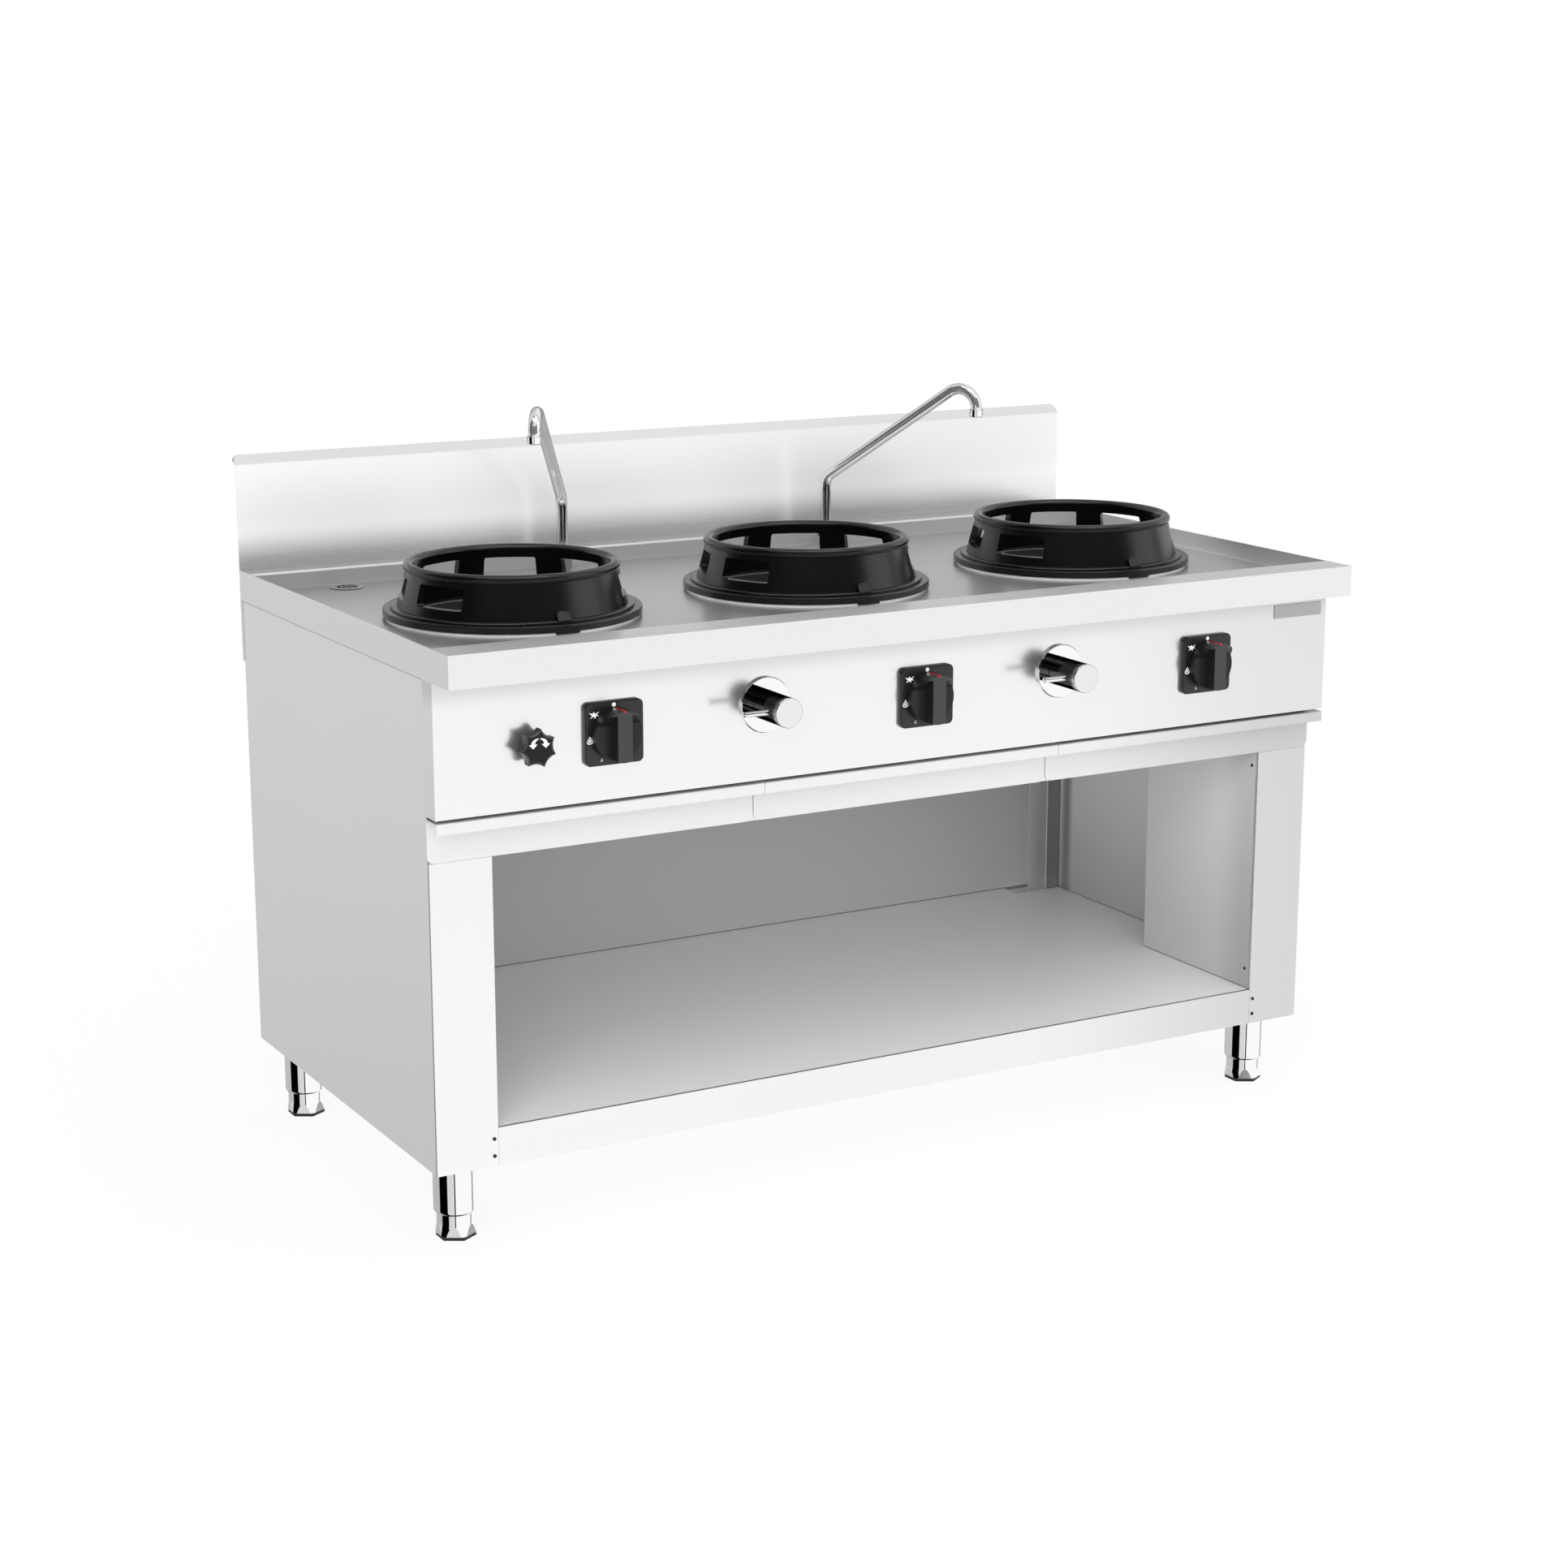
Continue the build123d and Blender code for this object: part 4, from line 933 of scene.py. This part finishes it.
class RANGE_OT_screws(bpy.types.Operator):
    """Makes heads with hexagon sockets in place of the plain CAD screws: dark in front, bright at the rear"""

    bl_idname = "wok_range.screws"
    bl_label = "Screws"

    def execute(self, context):
        detail = context.scene.range_detail
        tree = seat_tree()
        part = add_object("button_head", mesh_from("button_head", self.head))
        seats = self.seats()
        posts = [seat for seat in seats if seat[0].y <= 0.0]
        angles = [seat for seat in seats if seat[0].y > 0.0]
        screws = grow("screw_heads", tree, self.base(posts), Part=part, Size=detail.screw_radius,
                      Finish=metal_bar("dark_screw", (0.06, 0.06, 0.06), 0.4))
        bolts = grow("bolt_heads", tree, self.base(angles), Part=part, Size=detail.bolt_radius,
                     Finish=metal_bar("bright_bolt", (0.9, 0.9, 0.9), 0.3))
        bpy.data.objects.remove(part)
        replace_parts(place_piece("screw_heads", screws, "range"), "screws")
        place_piece("bolt_heads", bolts, "range")
        return {"FINISHED"}

    def base(self, seats):
        """A mesh with a point and an axis for each seat."""
        mesh = bpy.data.meshes.new("screw_seats")
        mesh.from_pydata([seat for seat, _ in seats], [], [])
        axes = mesh.attributes.new("axis", "FLOAT_VECTOR", "POINT")
        for item, (_, axis) in zip(axes.data, seats):
            item.vector = axis
        return mesh

    def seats(self):
        """Each CAD screw's foot and outward axis."""
        shape = bmesh.new()
        shape.from_mesh(NODES["screws"].data)
        bmesh.ops.remove_doubles(shape, verts=shape.verts, dist=1e-6)
        left = set(shape.verts)
        found = []
        while left:
            part, queue = [], [left.pop()]
            while queue:
                vert = queue.pop()
                part.append(vert.co.copy())
                near = [edge.other_vert(vert) for edge in vert.link_edges]
                fresh = [other for other in near if other in left]
                left.difference_update(fresh)
                queue.extend(fresh)
            found.append(part)
        shape.free()
        return [self.seat(part) for part in found]

    def seat(self, part):
        """The middle of a screw's wider end, and the axis that points away from it."""
        low, high = (Vector([pick(places) for places in zip(*part)]) for pick in (min, max))
        thin = min(range(3), key=lambda i: high[i] - low[i])
        middle = (low + high) / 2

        def width(end):
            """How widely the points at one end lie round the axis."""
            arms = [co - middle for co in part if abs(co[thin] - end[thin]) < 0.1 * MM]
            return sum(arm.length_squared - arm[thin] ** 2 for arm in arms) / max(1, len(arms))

        foot, way = (low, 1.0) if width(low) > width(high) else (high, -1.0)
        axis = Vector((0.0, 0.0, 0.0))
        axis[thin] = way
        middle[thin] = foot[thin]
        return middle, axis

    def head(self, shape):
        """A button head of unit radius with a hexagon socket."""
        count = 24
        rings = [[shape.verts.new((x, y, rise)) for x, y in circle(radius, count)]
                 for radius, rise in HEAD_RINGS]
        for rise in SOCKET_RISES:
            corners = []
            for i in range(count):
                turn = math.tau * i / count
                across = SOCKET_HALF / math.cos((turn + math.pi / 6) % (math.pi / 3) - math.pi / 6)
                corners.append(shape.verts.new((across * math.cos(turn), across * math.sin(turn), rise)))
            rings.append(corners)
        for first, second in zip(rings, rings[1:]):
            for i, j in round_pairs(count):
                shape.faces.new((first[i], first[j], second[j], second[i]))
        shape.faces.new(rings[-1])
        shape.faces.new(rings[0][::-1])


class RANGE_OT_gas_controls(bpy.types.Operator):
    """Dresses the gas plates and knobs, and makes their printed signs and red pointers"""

    bl_idname = "wok_range.gas_controls"
    bl_label = "Gas controls"

    def execute(self, context):
        plastic = swatch("plastic")
        dress("gas_plates", moulded("plate_moulding", plastic, 0.32, specular=0.3, coat=0.4))
        black = moulded("black_moulding", plastic, 0.32, specular=0.3, coat=self.polish)
        dress_each("gas_knob", SIDES, black)
        white = printed("white_ink", swatch("sign_white"))
        grey = printed("grey_ink", swatch("sign_grey"))
        step = KNOB_PLACES[1] - KNOB_PLACES[0]
        rows = row_tree()
        for name, build, ink in (("gas_signs", self.signs, white), ("low_flame_signs", self.low_flame, grey)):
            part = add_object(name + "_part", mesh_from(name + "_part", build))
            mesh = grow(name, rows, bpy.data.meshes.new(name + "_base"), Part=part, Count=len(SIDES),
                        Step=tuple(step), Finish=ink)
            bpy.data.objects.remove(part)
            place_piece(name, mesh, "range")
        red = printed("pointer_red", swatch("pointer"))
        for side, place in zip(SIDES, KNOB_PLACES):
            mesh = mesh_from(f"pointer_{side}", lambda shape: self.pointer(shape, place), red)
            place_piece(f"pointer_{side}", mesh, f"gas_knob_{side}")
        return {"FINISHED"}

    def polish(self, x, y, z):
        """1 on the front and the top of the knob's bar, which are polished."""
        top = KNOB_HIGH.z
        return y.math("MAXIMUM", 1.0 - y.ramp(KNOB_LOW.y + 0.3 * MM, KNOB_LOW.y + 1.5 * MM),
                      z.ramp(top - 9 * MM, top - 3 * MM))

    def face(self):
        """The middle of the first plate, and how far its ink reaches forwards and back."""
        ink = bpy.context.scene.range_detail.ink
        return KNOB_PLACES[0], PLATE_FRONT - ink, PLATE_FRONT + ink / 2

    def signs(self, shape):
        """Off dot, ignition spark and full flame of the first plate."""
        place, *face = self.face()
        prism(shape, circle(3 * MM, 32, (place.x - 1 * MM, place.z + 39.6 * MM)), *face)
        prism(shape, [(place.x + (x - 30.8) * MM, place.z + (z + 27.6) * MM) for x, z in SPARK], *face)
        flame = (place.x - 37.7 * MM, place.z - 6.5 * MM)
        frame_strip(shape, drop(9.0 * MM, 11.4 * MM, flame),
                    drop(6.2 * MM, 7.6 * MM, (flame[0], flame[1] - 0.5 * MM)), *face)
        prism(shape, drop(3.4 * MM, 4.8 * MM, (flame[0], flame[1] - 0.8 * MM)), *face)

    def low_flame(self, shape):
        """Low flame of the first plate."""
        place, *face = self.face()
        prism(shape, drop(4 * MM, 5.6 * MM, (place.x - 20.4 * MM, place.z - 35.3 * MM)), *face)

    def pointer(self, shape, place):
        """A raised line along the top of the bar, folded over its front edge."""
        half = bpy.context.scene.range_detail.pointer_width / 2
        front, back = KNOB_LOW.y, KNOB_HIGH.y - 1.5 * MM
        top = place.z + KNOB_RADIUS
        rise, edge = 0.25 * MM, 1.2 * MM
        line = [(back, top - rise), (back, top + rise), (front + edge, top + rise),
                (front + edge * 0.3 - rise, top - edge * 0.3 + rise * 0.5), (front - rise, top - edge),
                (front - rise, top - edge * 1.6), (front + rise, top - edge * 1.6),
                (front + edge * 1.2, top - rise * 1.6)]
        prism(shape, line, place.x - half, place.x + half, "x")


class RANGE_OT_star_knob(bpy.types.Operator):
    """Dresses the rinse water knob and makes its face plate and two turning arrows"""

    bl_idname = "wok_range.star_knob"
    bl_label = "Star knob"

    def execute(self, context):
        ink = context.scene.range_detail.ink
        plastic = swatch("plastic")
        dress("star_knob", moulded("star_moulding", darker(plastic, 2.0), 0.3, specular=1.0))
        plate = mesh_from("star_face_plate", lambda shape: prism(
            shape, star_outline(inset=2.6 * MM), STAR_CENTRE.y - ink, STAR_CENTRE.y + ink),
            moulded("star_face", darker(plastic, 0.6), 0.45, specular=0.25))
        place_piece("star_face_plate", plate, "star_knob")
        arrows = mesh_from("star_arrows", self.arrows, printed("white_ink", swatch("sign_white")))
        place_piece("star_arrows", arrows, "star_knob")
        return {"FINISHED"}

    def arrows(self, shape):
        """Two arrows that point down on either side of the knob's middle."""
        ink = bpy.context.scene.range_detail.ink
        (wide, tall), (right, up) = ARROW_SCALE, ARROW_SHIFT
        for hand in (-1, 1):
            outline = [(STAR_CENTRE.x + (hand * x * wide + right) * MM,
                        STAR_CENTRE.z + (z * tall + up) * MM) for x, z in ARROW]
            prism(shape, outline, STAR_CENTRE.y - 2 * ink, STAR_CENTRE.y - ink / 2)


class RANGE_OT_badge(bpy.types.Operator):
    """Makes the bare brushed plate at the right of the control panel"""

    bl_idname = "wok_range.badge"
    bl_label = "Bare badge plate"

    def execute(self, context):
        detail = context.scene.range_detail
        across, up = detail.badge_place
        brushed = satin_steel("badge_steel", (0.45, 0.45, 0.45), 0.3)

        def build(shape):
            half, tall, corner = detail.badge_width / 2, detail.badge_height / 2, 1.5 * MM
            thick, edge, steps = 1.2 * MM, 0.5 * MM, 4
            outline = []
            for start, (sx, sz) in enumerate(((1, 1), (-1, 1), (-1, -1), (1, -1))):
                for i in range(steps + 1):
                    turn = math.pi / 2 * (start + i / steps)
                    outline.append((across + sx * (half - corner) + corner * math.cos(turn),
                                    up + sz * (tall - corner) + corner * math.sin(turn)))
            prism(shape, outline, PANEL_LOW.y - thick, PANEL_LOW.y)
            front = [line for line in shape.edges if all(v.co.y < PANEL_LOW.y - edge for v in line.verts)]
            bmesh.ops.bevel(shape, geom=front, offset=edge, segments=2, affect="EDGES")

        place_piece("badge_plate", mesh_from("badge_plate", build, brushed), "range")
        return {"FINISHED"}


class RANGE_PT_sidebar(bpy.types.Panel):
    """The steps and settings of the wok range"""

    bl_idname = "RANGE_PT_sidebar"
    bl_label = "Wok Range"
    bl_space_type = "VIEW_3D"
    bl_region_type = "UI"
    bl_category = "Wok Range"

    def draw(self, context):
        for step in STEPS:
            self.layout.operator(step.bl_idname)
        for group in GROUPS:
            settings = getattr(context.scene, group)
            box = self.layout.box()
            for name in settings.__annotations__:
                box.prop(settings, name)


STEPS = (RANGE_OT_studio, RANGE_OT_sheets, RANGE_OT_burners, RANGE_OT_brightwork, RANGE_OT_screws,
         RANGE_OT_gas_controls, RANGE_OT_star_knob, RANGE_OT_badge)
GROUPS = {"range_studio": StudioSettings, "range_finish": FinishSettings, "range_detail": DetailSettings}


def register():
    for kind in (*GROUPS.values(), *STEPS, RANGE_PT_sidebar):
        bpy.utils.register_class(kind)
    for name, kind in GROUPS.items():
        setattr(bpy.types.Scene, name, bpy.props.PointerProperty(type=kind))


def unregister():
    for name in GROUPS:
        delattr(bpy.types.Scene, name)
    for kind in (RANGE_PT_sidebar, *reversed(STEPS), *GROUPS.values()):
        bpy.utils.unregister_class(kind)


def main():
    register()
    for step in STEPS:
        group, name = step.bl_idname.split(".")
        getattr(getattr(bpy.ops, group), name)()


if __name__ == "__main__":
    main()
